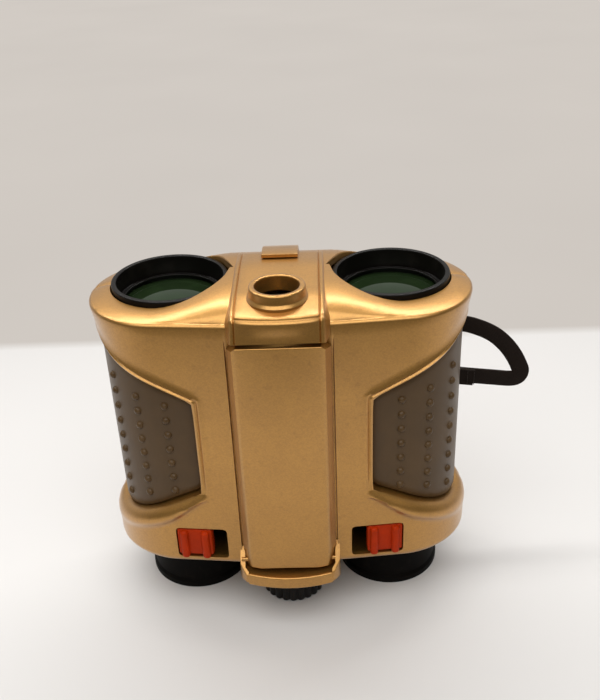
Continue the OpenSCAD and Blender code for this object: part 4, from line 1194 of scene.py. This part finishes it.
class MakeShells(PieceOperator):
    """Makes the two gold shells, their bays, the lip and the strap lugs"""
    bl_idname = "toy_binoculars.shells"
    bl_label = "Shells"
    # each opening's ends, from the middle, and the heights of its lowest and highest row
    slot_ends = (20 * MM, 36.7 * MM)
    slot_rows = (23.2 * MM, 35 * MM)
    light_half = 12.9 * MM
    light_rows = (58.8 * MM, 103.9 * MM)
    battery_half = 11 * MM
    # the port's first and last row, counted from the first row of the top
    port_rows = (1, 5)
    # depth of an opening's wall and the rounding of its corners
    window_wall = (4.6 * MM, 0.1)
    slot_wall = (1.4 * MM, 0.29)
    bare_edge = (0, 0)
    # each bay's half width, lowest and highest place, and the place of its back from the optical axes
    light_bay = (13 * MM, 58.2 * MM, 106 * MM)
    light_back = -9.2 * MM
    battery_bay = (11.4 * MM, 43 * MM, 93 * MM)
    battery_back = 6.4 * MM
    bay_inset = 1.2 * MM
    bay_wall = 1 * MM
    # the screw wells in the back
    well_r = 2.5 * MM
    well_len = 8 * MM
    well_shift = 1 * MM
    # the lip's outline, and the plan of an ear in mm from the middle and behind the front face
    lip_half = 16 * MM
    lip_reach = 8.1 * MM
    lip_low = 17.2 * MM
    lip_tall = 4.3 * MM
    lip_root = 1.2 * MM
    lip_bow = 40 * MM
    lip_places = (-13.6, -10, -6, -2, 2, 6, 10, 13.6)
    ear_plan = ((14.4, 1.2), (16.1, 1.2), (16.1, -1.6), (16.1, -3.3), (15.3, -4.4), (14.2, -5.7),
                (13.3, -5.9), (13.3, -5), (14.4, -4))
    # each ear's side, its peak and how steeply it falls towards the front
    ears = ((-1, 27.8 * MM, 1.15), (1, 29.5 * MM, 1.32))
    # a lug's place, half the space between its ears, its ears' half sizes, and where they start and end
    lug_x = 38 * MM
    lug_z = 62 * MM
    lug_space = 4.6 * MM
    lug_half = (2.2 * MM, 1 * MM)
    lug_ends = (-1.6 * MM, 4.9 * MM)
    # the bar across a lug: its place behind the back, its radius and its length
    bar_y = 3.4 * MM
    bar_r = 1.1 * MM
    bar_len = 10 * MM

    def make(self, sizes):
        form = BodyForm(sizes)
        self.front(form)
        self.rear(form)

    def front(self, form):
        middle = 0
        window = (form.nearest(form.s.window_in), form.seam) + form.window_rows()
        slot_in, slot_out = [form.nearest(end) for end in self.slot_ends]
        slot_low, slot_high = [form.row_at(slot_in, z, "band") for z in self.slot_rows]
        light_out = form.nearest(self.light_half)
        light_low, light_high = self.light_rows
        light = (middle, light_out, form.row_at(middle, light_low, "window"),
                 form.row_at(middle, light_high, "cap"))
        top = form.labels.index("top")
        port = (middle, light_out) + tuple(top + row for row in self.port_rows)
        holes = (window + self.window_wall, (slot_in, slot_out, slot_low, slot_high) + self.slot_wall,
                 light + self.bare_edge, port + self.bare_edge)
        shell = whole_skin(form, middle, form.seam, holes)
        smooth_shade(shell, 32)
        drop_in("front_case", shell, gold_paint(), "housing", "gold_shell", "front_shell")
        self.lip(form)
        mouth = form.front_y + self.bay_inset
        self.bay("light_bay", self.light_bay, mouth, AXIS_Y + self.light_back, -1)

    def rear(self, form):
        last = len(form.columns) - 1
        rows = form.window_rows()
        window = form.column_at(form.rear_angle)
        battery = form.nearest(self.battery_half, False)
        holes = ((form.seam, window) + rows + self.window_wall, (battery, last) + rows + self.bare_edge)
        shell = whole_skin(form, form.seam, last, holes)
        wells = [rod((x, form.rear_y + self.well_shift, z), (0, 1, 0), self.well_r, self.well_len)
                 for x, z in screw_places()]
        cut(shell, *wells)
        smooth_shade(shell, 32)
        drop_in("rear_case", shell, gold_paint(), "housing", "gold_shell", "rear_shell")
        mouth = form.rear_y - self.bay_inset
        self.bay("battery_bay", self.battery_bay, AXIS_Y + self.battery_back, mouth, 1)
        self.lugs(form)

    def bay(self, name, size, front, back, mouth):
        """A box behind a hole in a shell, open at its front (-1) or its back (1)."""
        half, foot, head = size
        box = block((-half, front, foot), (half, back, head))
        mesh = bmesh.new()
        mesh.from_mesh(box.data)
        bmesh.ops.delete(mesh, geom=[f for f in mesh.faces if f.normal.y * mouth > 0.9], context="FACES")
        bmesh.ops.reverse_faces(mesh, faces=mesh.faces)
        mesh.to_mesh(box.data)
        mesh.free()
        modify(box, "SOLIDIFY", thickness=self.bay_wall, offset=-1)
        modify(box, "BEVEL", width=0.25 * MM, segments=2)
        smooth_shade(box)
        drop_in(name, box, gold_inside(), "housing", "gold_shell")

    def lip(self, form):
        """The bowed lip under the pop-up panel, with an ear for the hinge pin at each end."""
        front, half = form.front_y, self.lip_half
        root = front + self.lip_root
        nose = front - self.lip_reach
        bow = [(x * MM, nose + (x * MM) ** 2 / (2 * self.lip_bow)) for x in self.lip_places]
        outline = [(-half, root), (-half, front)] + bow + [(half, front), (half, root)]
        lip = slab([(x, y, self.lip_low) for x, y in outline], (0, 0, self.lip_tall))
        ease_edges(lip, 0.55 * MM, 3, 25)
        foot, tall = self.lip_low + 1 * MM, 12 * MM
        ears = []
        for side, peak, fall in self.ears:
            ear = slab([(side * x * MM, front + y * MM, foot) for x, y in self.ear_plan], (0, 0, tall))
            for vertex in ear.data.vertices:
                if vertex.co.z > foot + tall / 2:
                    vertex.co.z = min(peak, peak + (vertex.co.y - front) * fall)
            ease_edges(ear, 0.25 * MM, 2, 40)
            ears.append(ear)
        lip = join(lip, *ears)
        smooth_shade(lip)
        modify(lip, "WEIGHTED_NORMAL", keep_sharp=True)
        drop_in("hinge_lip", lip, gold_paint(), "housing", "gold_shell")

    def lugs(self, form):
        """A loop at each side of the back that the strap ties to."""
        back = form.rear_y
        start, end = self.lug_ends
        half_x, half_z = self.lug_half
        loops = []
        for side in (-1, 1):
            x = side * self.lug_x
            for lift in (-1, 1):
                z = self.lug_z + lift * self.lug_space
                low = (x - half_x, back + start, z - half_z)
                high = (x + half_x, back + end, z + half_z)
                loops.append(block(low, high, 0.6 * MM, 3))
            loops.append(rod((x, back + self.bar_y, self.lug_z), (0, 0, 1), self.bar_r, self.bar_len))
        lug = join(*loops)
        smooth_shade(lug)
        drop_in("strap_lugs", lug, gold_paint(), "housing", "gold_shell")


def screw_places():
    """Sideways place and height of each shell screw, from the middles of its solids."""
    low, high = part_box("shell_screws")
    screws = {}
    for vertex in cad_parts["shell_screws"].data.vertices:
        key = (vertex.co.x > 0, vertex.co.z > (low[2] + high[2]) / 2)
        screws.setdefault(key, []).append(vertex.co)
    places = []
    for points in screws.values():
        xs = [p.x for p in points]
        zs = [p.z for p in points]
        places.append(((min(xs) + max(xs)) / 2, (min(zs) + max(zs)) / 2))
    return places


class MakeNoseCap(PieceOperator):
    """Makes the strip over the top, its collar and the black insert in it"""
    bl_idname = "toy_binoculars.nose_cap"
    bl_label = "Nose cap"
    # top line from the apron's foot to the rear, in mm about the optical axes, with each corner's radius
    line = ((-36.2, 105.4), (-34.3, 111.7), (-31.9, 112.5), (-21, 114.2), (0, 115.1), (10, 114.3),
            (15.6, 112))
    radii = (0, 1.5, 3, 30, 60, 15, 0)
    # half of the section: place from the middle and drop from the top line
    section = ((0, 0), (5, 0), (9, 0), (11.4, 0), (11.65, 0.12), (11.9, 0.5), (12.15, 0.12), (12.4, 0),
               (12.9, 0.06), (13.2, 0.3), (13.55, 1.1), (14.7, 3.4))
    strip_t = 1.1 * MM
    row_step = 1.5 * MM
    # the flange is the section beyond this place; it tucks in behind the front face, up to a height
    flange_x = 14
    tuck_y = -29.3
    tuck_z = 109.4
    # the front of the strip is bowed up to here, and less and less behind it
    bow_r = 40 * MM
    bow_ends = (-33.5, -28)
    # the apron's foot runs straight where the bowed front is at this place from the middle
    foot_flat = 12
    # the groove across the front: its place, half width, depth, ends and lowest point
    groove_y = -33.2
    groove_half = 0.45
    groove_depth = 0.5
    groove_x = 11.9
    groove_low = 110 * MM
    # rows are closer within this distance of the groove
    groove_near = 1.6
    groove_step = 0.17 * MM
    # the raised collar round the port
    collar_y = -21
    collar_hole = 6.4 * MM
    collar_wall = 8.1 * MM
    collar_flare = 9.1 * MM
    collar_low = 112.6 * MM
    collar_top = 117.3 * MM
    port_r = 7.1 * MM

    def make(self, sizes):
        cap = self.strip()
        self.collar(cap)
        drop_in("nose_strip", cap, gold_paint(), "housing", "gold_shell", "nose_cap")
        self.insert()

    def strip(self):
        path = rounded([(y * MM, z * MM) for y, z in self.line], [r * MM for r in self.radii], 6, False)
        path = self.filled(path)
        sides = [(-x, drop) for x, drop in reversed(self.section[1:])] + list(self.section)
        rows = []
        for i, (y, z) in enumerate(path):
            ahead = Vector(path[min(i + 1, len(path) - 1)]) - Vector(path[max(i - 1, 0)])
            ahead.normalize()
            inward = Vector((ahead.y, -ahead.x))
            rows.append([self.flange_point(x, drop, y, z) if abs(x) > self.flange_x
                         else self.top_point(x, drop, y, z, inward) for x, drop in sides])
        cap = surface(rows)
        merge(cap, 0.003 * MM)
        modify(cap, "SOLIDIFY", thickness=self.strip_t, offset=-1, use_even_offset=False)
        return cap

    def flange_point(self, x, drop, y, z):
        """A point of the edge that the shell holds down."""
        if y < self.tuck_y * MM:
            return (x * MM, AXIS_Y + self.tuck_y * MM, min(z, self.tuck_z * MM))
        return (x * MM, AXIS_Y + y, z - drop * MM)

    def top_point(self, x, drop, y, z, inward):
        """A point of the bowed and grooved top."""
        mark = max(0, 1 - abs(y / MM - self.groove_y) / self.groove_half) * (z > self.groove_low)
        reach = (drop + self.groove_depth * mark * (abs(x) < self.groove_x)) * MM
        level = ease(self.line[0][1], self.line[1][1], z / MM)
        across = x ** 2 * level + self.foot_flat ** 2 * (1 - level)
        bowed = across * MM ** 2 / (2 * self.bow_r) * (1 - ease(*self.bow_ends, y / MM))
        return (x * MM, AXIS_Y + y + inward.x * reach + bowed, z + inward.y * reach)

    def filled(self, path):
        """A line with points added so that none are far apart, and close ones where the groove is."""
        line = [path[0]]
        for a, b in zip(path, path[1:]):
            gap = math.hypot(b[0] - a[0], b[1] - a[1])
            near = abs((a[0] + b[0]) / 2 / MM - self.groove_y) < self.groove_near and b[1] > self.groove_low
            count = max(1, math.ceil(gap / (self.groove_step if near else self.row_step)))
            line += [(a[0] + (b[0] - a[0]) * k / count, a[1] + (b[1] - a[1]) * k / count)
                     for k in range(1, count + 1)]
        return line

    def collar(self, cap):
        """The raised ring round the port, with a flared foot."""
        centre = (0, AXIS_Y + self.collar_y * MM)
        cut(cap, rod((*centre, self.collar_low + 0.4 * MM), (0, 0, 1), self.port_r, 12 * MM, 64))
        smooth_shade(cap, 32)
        hole, wall, flare = self.collar_hole, self.collar_wall, self.collar_flare
        foot, top = self.collar_low, self.collar_top
        outline = rounded([(hole, foot), (flare, foot), (flare, foot + 1.1 * MM),
                           (wall + 0.25 * MM, foot + 2 * MM), (wall, top), (hole, top)],
                          [0, 0, 0.2 * MM, 0.9 * MM, 0.7 * MM, 0.6 * MM], 6)
        ring = turned(outline, centre)
        smooth_shade(ring, 40)
        join(cap, ring)

    def insert(self):
        """The black cup at the bottom of the port."""
        base, top, centre, wall = round_node("port_insert")
        bore, sole, dimple = wall - 1.2 * MM, base + 1.6 * MM, base + 1.1 * MM
        outline = rounded([(0, base), (wall, base), (wall, top), (bore, top), (bore, sole),
                           (3.2 * MM, sole), (3 * MM, dimple), (0, dimple)],
                          [0, 0.3 * MM, 0.3 * MM, 0.3 * MM, 0.4 * MM, 0.2 * MM, 0.1 * MM, 0])
        cup = turned(outline, centre, 64)
        smooth_shade(cup)
        drop_in("port_cup", cup, black_plastic(), "housing", "black_plastic", "port_insert")


class MakeGrips(PieceOperator):
    """Makes the two rubber grips with their rows of bumps"""
    bl_idname = "toy_binoculars.grips"
    bl_label = "Grips"
    # angle round the lobe, lowest bump, number of bumps and step of each row
    bump_rows = ((2, 48.4, 7, 5.25), (27, 46.2, 8, 5.15), (53.5, 42.5, 9, 5.5))
    bump_r = 1.3 * MM
    bump_sink = 0.25 * MM
    # the skin's rows as shares of the window's height, and its gap to the window
    row_shares = (0, 0.012, 0.03, 0.08, 0.2, 0.35, 0.5, 0.65, 0.8, 0.92, 0.97, 0.988, 1)
    gap = 0.55 * MM
    skin_t = 1.6 * MM
    edge_drop = 0.55 * MM
    end_drop = 0.5 * MM
    edge_share = 0.03

    def make(self, sizes):
        form = BodyForm(sizes)
        skin = self.skin(form, sizes)
        self.bumps(skin, form, sizes)
        smooth_shade(skin, 40)
        twin = mirrored_copy(skin)
        drop_in("right_hand_grip", skin, grip_rubber(), "housing", "grip_rubber", "right_grip")
        drop_in("left_hand_grip", twin, grip_rubber(), "housing", "grip_rubber", "left_grip")

    def skin(self, form, sizes):
        columns = [c for c in form.columns if c.place.x >= sizes.window_in - TINY
                   and c.angle < form.rear_angle + TINY]
        last = len(columns) - 1
        rows = []
        for share in self.row_shares:
            drop = self.edge_drop * (1 - ease(0, self.edge_share, min(share, 1 - share)))
            row = []
            for k, column in enumerate(columns):
                foot, head = form.window_limits(column)
                z = foot + self.gap + (head - foot - 2 * self.gap) * share
                x, y, z = column.at(-sizes.grip_sink - drop - self.end_drop * (k in (0, last)), z)
                row.append((x + self.gap * (k == 0), y, z))
            rows.append(row)
        obj = surface(rows)
        turn_out(obj)
        modify(obj, "SOLIDIFY", thickness=self.skin_t, offset=-1, use_even_offset=False)
        turn_out(obj)
        return obj

    def bumps(self, skin, form, sizes):
        deselect()
        bpy.ops.mesh.primitive_uv_sphere_add(segments=14, ring_count=10, radius=self.bump_r)
        seed = bpy.context.object
        copies = []
        radius = sizes.lobe_r - sizes.grip_sink - self.bump_sink
        for degrees, low, count, step in self.bump_rows:
            angle = math.radians(degrees)
            place = form.centre + Vector((math.sin(angle), -math.cos(angle))) * radius
            copies += [copy_of(seed, (place.x, place.y, (low + k * step) * MM)) for k in range(count)]
        bpy.data.objects.remove(seed, do_unlink=True)
        join(skin, *copies)


class MakeObjectives(PieceOperator):
    """Makes the objective tubes, lenses and lens rings"""
    bl_idname = "toy_binoculars.objectives"
    bl_label = "Objectives"
    rim_wall = 1.55 * MM
    # the shelf that the lens lies on, below the seat, and its ledge above
    shelf_w = 1.4 * MM
    shelf_drop = 2 * MM
    step_rise = 3.2 * MM
    fit = 0.05 * MM
    # the narrow stem of the tube and where it starts to widen, below the seat
    stem_r = 13.6 * MM
    stem_bore = 12.6 * MM
    stem_drop = 6 * MM
    ring_w = 1.1 * MM
    dome_steps = 10
    dome_share = 0.55

    def make(self, sizes):
        for side in ("left", "right"):
            rim = round_node(f"{side}_objective_tube")
            glass = round_node(f"{side}_objective_lens")
            self.tube(side, rim, glass.base, glass.radius)
            self.lens(side, rim.centre, glass)
            self.ring(side, rim.centre, glass.radius)

    def tube(self, side, rim, seat, lens_r):
        base, top, centre, wide = rim
        bore, fit_r = wide - self.rim_wall, lens_r + self.fit
        shelf_r, shelf = lens_r - self.shelf_w, seat - self.shelf_drop
        step = seat + self.step_rise
        outline = rounded([(wide, shelf), (wide, top), (bore, top), (bore, step),
                           (fit_r, step - 0.2 * MM), (fit_r, seat), (shelf_r, seat), (shelf_r, shelf)],
                          [0.3 * MM, 0.5 * MM, 0.45 * MM, 0.2 * MM, 0, 0, 0, 0.2 * MM])
        tube = turned(outline, centre, 128)
        shoulder, skirt_r = shelf + 0.2 * MM, wide - 0.2 * MM
        neck = seat - self.stem_drop
        outline = rounded([(self.stem_bore, base), (self.stem_r, base), (self.stem_r, neck),
                           (skirt_r, shelf - 0.2 * MM), (skirt_r, shoulder), (shelf_r - 0.2 * MM, shoulder),
                           (self.stem_bore, neck)], 0.3 * MM)
        join(tube, turned(outline, centre))
        smooth_shade(tube)
        drop_in(f"{side}_front_tube", tube, black_plastic(), "housing", "black_plastic",
                f"{side}_objective_tube")

    def lens(self, side, centre, glass):
        seat, lens_r = glass.base, glass.radius
        edge = glass.top - seat
        shares = [k / self.dome_steps for k in range(self.dome_steps + 1)]
        dome = [(lens_r * t, seat + edge - edge * self.dome_share * t ** 2) for t in shares]
        sole = [(0, seat), (lens_r - 0.2 * MM, seat), (lens_r, seat + 0.2 * MM)]
        lens = turned(sole + dome[::-1], centre)
        smooth_shade(lens)
        drop_in(f"{side}_front_lens", lens, green_lens(), "housing", "green_lens", f"{side}_objective_lens")

    def ring(self, side, centre, lens_r):
        node = f"{side}_lens_ring"
        base, top = round_node(node)[:2]
        hole = lens_r - self.ring_w
        outline = rounded([(hole, base + 0.5 * MM), (lens_r, base + 0.1 * MM), (lens_r, top), (hole, top)],
                          0.25 * MM)
        ring = turned(outline, centre)
        smooth_shade(ring)
        drop_in(f"{side}_front_ring", ring, black_plastic(), "housing", "black_plastic", node)


class MakeEyepieces(PieceOperator):
    """Makes the eyecups and the bridge, and paints the barrels and the eye lenses"""
    bl_idname = "toy_binoculars.eyepieces"
    bl_label = "Eyepieces"
    # the grooves round an eyecup: how many, the first one's drop from the top, their step, width and depth
    grooves = 3
    groove_first = 2.4 * MM
    groove_step = 1.9 * MM
    groove_w = 0.7 * MM
    groove_depth = 0.4 * MM
    # how far the cup's wall stands in from its foot, and the height of its inner step
    wall_in = 0.9 * MM
    step_rise = 3.4 * MM

    def make(self, sizes):
        for side in ("left", "right"):
            self.cup(side)
        bridge = eased("eyepiece_bridge", 0.5 * MM)
        smooth_shade(bridge)
        drop_in("bridge_plate", bridge, black_plastic(), "eyepieces", "black_plastic", "eyepiece_bridge")
        paint(black_plastic(), "left_eyepiece_barrel", "right_eyepiece_barrel")
        paint(green_lens(), "left_eye_lens", "right_eye_lens")

    def cup(self, side):
        base, top, centre, wide = round_node(f"{side}_eyecup")
        barrel = round_node(f"{side}_eyepiece_barrel").radius
        bore, seat = barrel + 0.05 * MM, barrel - 1.2 * MM
        wall, step = wide - self.wall_in, base + self.step_rise
        line = [(bore, top), (wide - 1.6 * MM, top), (wall, top - 1.2 * MM)]
        for k in range(self.grooves):
            z = top - self.groove_first - self.groove_step * k
            line += [(wall, z), (wall - self.groove_depth, z - self.groove_w / 2),
                     (wall, z - self.groove_w)]
        line += [(wide - 0.7 * MM, base + 3.2 * MM), (wide, base + 2.2 * MM), (wide, base),
                 (wide - 3 * MM, base), (seat, base + 2.6 * MM), (seat, step), (bore, step)]
        cup = turned(rounded(line, 0.35 * MM, 3), centre, 112)
        smooth_shade(cup, 40)
        drop_in(f"{side}_rubber_cup", cup, eyecup_black(), "eyepieces", "eyecup_black", f"{side}_eyecup")


class MakeFocus(PieceOperator):
    """Makes the fluted focus knob and paints its screw"""
    bl_idname = "toy_binoculars.focus"
    bl_label = "Focus knob"
    flutes = 24
    flute_depth = 0.6 * MM
    flute_steps = 8
    # the fluted rim, and the dish in each end of the knob
    rim_w = 1.5 * MM
    dish_low = 0.8 * MM
    dish_top = 0.5 * MM

    def make(self, sizes):
        base, top, centre, wide = round_node("focus_knob")
        floor, roof = base + self.dish_low, top - self.dish_top
        outline = rounded([(0, floor), (wide - 5 * MM, floor), (wide - 4.4 * MM, base), (wide, base),
                           (wide, top), (wide - 3 * MM, top), (wide - 3.4 * MM, roof), (0, roof)],
                          [0, 0.4 * MM, 0.4 * MM, 1 * MM, 1 * MM, 0.4 * MM, 0.3 * MM, 0], 4)
        knob = turned(outline, centre, self.flutes * self.flute_steps)
        for vertex in knob.data.vertices:
            arm = Vector((vertex.co.x - centre[0], vertex.co.y - centre[1]))
            if arm.length > wide - self.rim_w:
                wave = 0.5 - 0.5 * math.cos(self.flutes * math.atan2(arm.y, arm.x))
                arm *= 1 - self.flute_depth / wide * wave ** 2
                vertex.co.x = centre[0] + arm.x
                vertex.co.y = centre[1] + arm.y
        smooth_shade(knob, 40)
        drop_in("focus_wheel", knob, black_plastic(), "focus_drive", "black_plastic", "focus_knob")
        paint(steel(), "focus_screw")


class MakeLight(PieceOperator):
    """Makes the pop-up panel and paints the lamp behind it"""
    bl_idname = "toy_binoculars.light"
    bl_label = "Pop-up light"
    # the panel's half width at its back and at its face, its gap to the front and the bow of its foot
    half = 15 * MM
    edge = 13.1 * MM
    back_gap = 0.35 * MM
    face_in = 0.05 * MM
    bow_r = 40 * MM
    bow_places = range(-12, 13)
    head_rise = 0.4 * MM
    # how far the flat head lies behind the foot's face, at its ridges and between them
    ridge_in = 0.85 * MM
    flat_in = 0.6 * MM
    # what is cut from the panel: its toe and heel, the room for the ears, and the top corners
    cut_out = 2 * MM
    toe = 3.3 * MM
    heel = 3.6 * MM
    ear_x = 14.05 * MM
    ear_top = 28.6 * MM
    corner = ((11.2, 1), (16, 1), (16, -2.6))

    def make(self, sizes):
        panel = self.panel(BodyForm(sizes).front_y)
        smooth_shade(panel, 32)
        modify(panel, "WEIGHTED_NORMAL", keep_sharp=True)
        drop_in("light_panel", panel, gold_paint(), "popup_light", "gold_shell", "light_cover")
        box = eased("light_housing", 0.4 * MM)
        smooth_shade(box)
        drop_in("lamp_box", box, black_plastic(), "popup_light", "black_plastic", "light_housing")
        paint(mirror_coat(), "light_reflector")
        paint(clear_plastic(), "light_bulb", "light_window")
        paint(steel(), "light_spring")
        paint(gold_paint(), "light_hinge_pin")

    def panel(self, front):
        """The panel: flat at its head and bowed at its foot, with drafted sides and cut top corners."""
        low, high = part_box("light_cover")
        foot, head = low[2], high[2]
        back = front - self.back_gap
        face = low[1] + self.face_in
        line = [(x * MM, face + (x * MM) ** 2 / (2 * self.bow_r)) for x in self.bow_places]
        turn_y = face + self.edge ** 2 / (2 * self.bow_r) + 0.25 * MM
        plan = [(-self.half, back), (-self.edge, turn_y)] + line + [(self.edge, turn_y), (self.half, back)]
        panel = slab([(x, y, foot) for x, y in plan], (0, 0, head + self.head_rise - foot))
        for vertex in panel.data.vertices:
            if vertex.co.z > foot + 1 * MM:
                vertex.co.y = self.head_y(abs(vertex.co.x), face, back)
        ease_edges(panel, 0.35 * MM, 3, 60)
        cut(panel, *self.cutters(face, back, foot, head))
        return panel

    def head_y(self, x, face, back):
        """Where the panel's head lies at a place from the middle."""
        if abs(x - self.edge) < 0.01 * MM:
            return face + self.ridge_in
        return face + self.flat_in if x < self.edge else back

    def cutters(self, face, back, foot, head):
        """Bodies for the bevelled toe and heel, the room for the ears and the top corners."""
        out, wide = self.cut_out, 20 * MM
        toe = [(face - out, foot - out), (face + self.toe, foot - out), (face - out, foot + self.toe)]
        heel = [(back + out, foot - out), (back - self.heel, foot - out), (back + out, foot + self.heel)]
        tools = [slab([(-wide, y, z) for y, z in shape], (2 * wide, 0, 0)) for shape in (toe, heel)]
        for side in (-1, 1):
            inner, outer = sorted((side * self.ear_x, side * wide))
            tools.append(block((inner, face - out, foot - 1 * MM), (outer, back + out, self.ear_top)))
            corner = [(side * x * MM, face - out, head + z * MM) for x, z in self.corner]
            tools.append(slab(corner, (0, back - face + 2 * out, 0)))
        return tools


class MakeSwitches(PieceOperator):
    """Makes the two orange switches and paints their contacts"""
    bl_idname = "toy_binoculars.switches"
    bl_label = "Switches"
    # along the slot from the button's inner end: the body, and the middle of each rib
    inner = 25.1 * MM
    reach = 11.4 * MM
    ribs = (2.1 * MM, 9 * MM)
    low = 24.0 * MM
    high = 34.4 * MM
    body_deep = 3.6 * MM
    # the ribs' half width, where they start and end, and how far their ends lie above the body's
    rib_half = 1.3 * MM
    rib_ends = (-1.4 * MM, 1.6 * MM)
    rib_low = -0.75 * MM
    rib_high = -0.2 * MM
    # the plate behind the slot: its inset and where it starts and ends
    plate_in = 0.4 * MM
    plate_out = 0.2 * MM
    plate_ends = (2.2 * MM, 3.5 * MM)

    def make(self, sizes):
        right = self.button(BodyForm(sizes), sizes)
        left = mirrored_copy(right)
        for side, button in (("left", left), ("right", right)):
            drop_in(f"{side}_slider_button", button, orange_plastic(), f"{side}_slider", "orange_switch",
                    f"{side}_switch")
        paint(contact_brass(), "switch_contacts")

    def button(self, form, sizes):
        """A body with two round-nosed ribs, laid out flat and then turned onto the slanted face."""
        low, high = self.low, self.high
        body = block((0, 0, low), (self.reach, self.body_deep, high), 0.7 * MM, 4)
        start, end = self.plate_ends
        plate = block((self.plate_in, start, low + self.plate_in),
                      (self.reach + self.plate_out, end, high - self.plate_in), 0.2 * MM)
        nose, root = self.rib_ends
        ribs = [block((place - self.rib_half, nose, low + self.rib_low),
                      (place + self.rib_half, root, high + self.rib_high), 1.05 * MM, 5)
                for place in self.ribs]
        button = join(body, plate, *ribs)
        depth = form.front_y + (self.inner - sizes.spine_half) * math.tan(sizes.front_slant)
        lay = Matrix.Translation((self.inner, depth, 0)) @ Matrix.Rotation(sizes.front_slant, 4, "Z")
        for vertex in button.data.vertices:
            vertex.co = lay @ vertex.co
        smooth_shade(button, 50)
        return button


class MakeBattery(PieceOperator):
    """Makes the battery door and paints the cells and contacts"""
    bl_idname = "toy_binoculars.battery"
    bl_label = "Battery bay"

    def make(self, sizes):
        door = eased("battery_door", 0.4 * MM)
        smooth_shade(door)
        drop_in("battery_lid", door, gold_paint(), "door", "gold_shell", "battery_door")
        paint(cell_sleeve(), "left_battery", "right_battery")
        paint(contact_brass(), "battery_contacts")


class MakeFasteners(PieceOperator):
    """Paints the shell screws"""
    bl_idname = "toy_binoculars.fasteners"
    bl_label = "Fasteners"

    def make(self, sizes):
        paint(steel(), "shell_screws")


class BinocularsPanel(bpy.types.Panel):
    """Lists the pieces in the order they are made"""
    bl_idname = "VIEW3D_PT_toy_binoculars"
    bl_label = "Toy binoculars"
    bl_space_type = "VIEW_3D"
    bl_region_type = "UI"
    bl_category = "Binoculars"

    def draw(self, context):
        for piece in PIECES:
            self.layout.operator(piece.bl_idname)
        for group in (context.scene.toy_sizes, context.scene.toy_colours):
            box = self.layout.box()
            for name in group.bl_rna.properties.keys():
                if name not in ("rna_type", "name"):
                    box.prop(group, name)


PIECES = (MakeStage, MakeStrap, MakeShells, MakeNoseCap, MakeGrips, MakeObjectives, MakeEyepieces,
          MakeFocus, MakeLight, MakeSwitches, MakeBattery, MakeFasteners)
CLASSES = (ToySizes, ToyColours) + PIECES + (BinocularsPanel,)


def register():
    for cls in CLASSES:
        bpy.utils.register_class(cls)
    bpy.types.Scene.toy_sizes = bpy.props.PointerProperty(type=ToySizes)
    bpy.types.Scene.toy_colours = bpy.props.PointerProperty(type=ToyColours)


def unregister():
    del bpy.types.Scene.toy_sizes
    del bpy.types.Scene.toy_colours
    for cls in reversed(CLASSES):
        bpy.utils.unregister_class(cls)


def main():
    register()
    for piece in PIECES:
        group, name = piece.bl_idname.split(".")
        getattr(getattr(bpy.ops, group), name)()


if __name__ == "__main__":
    main()
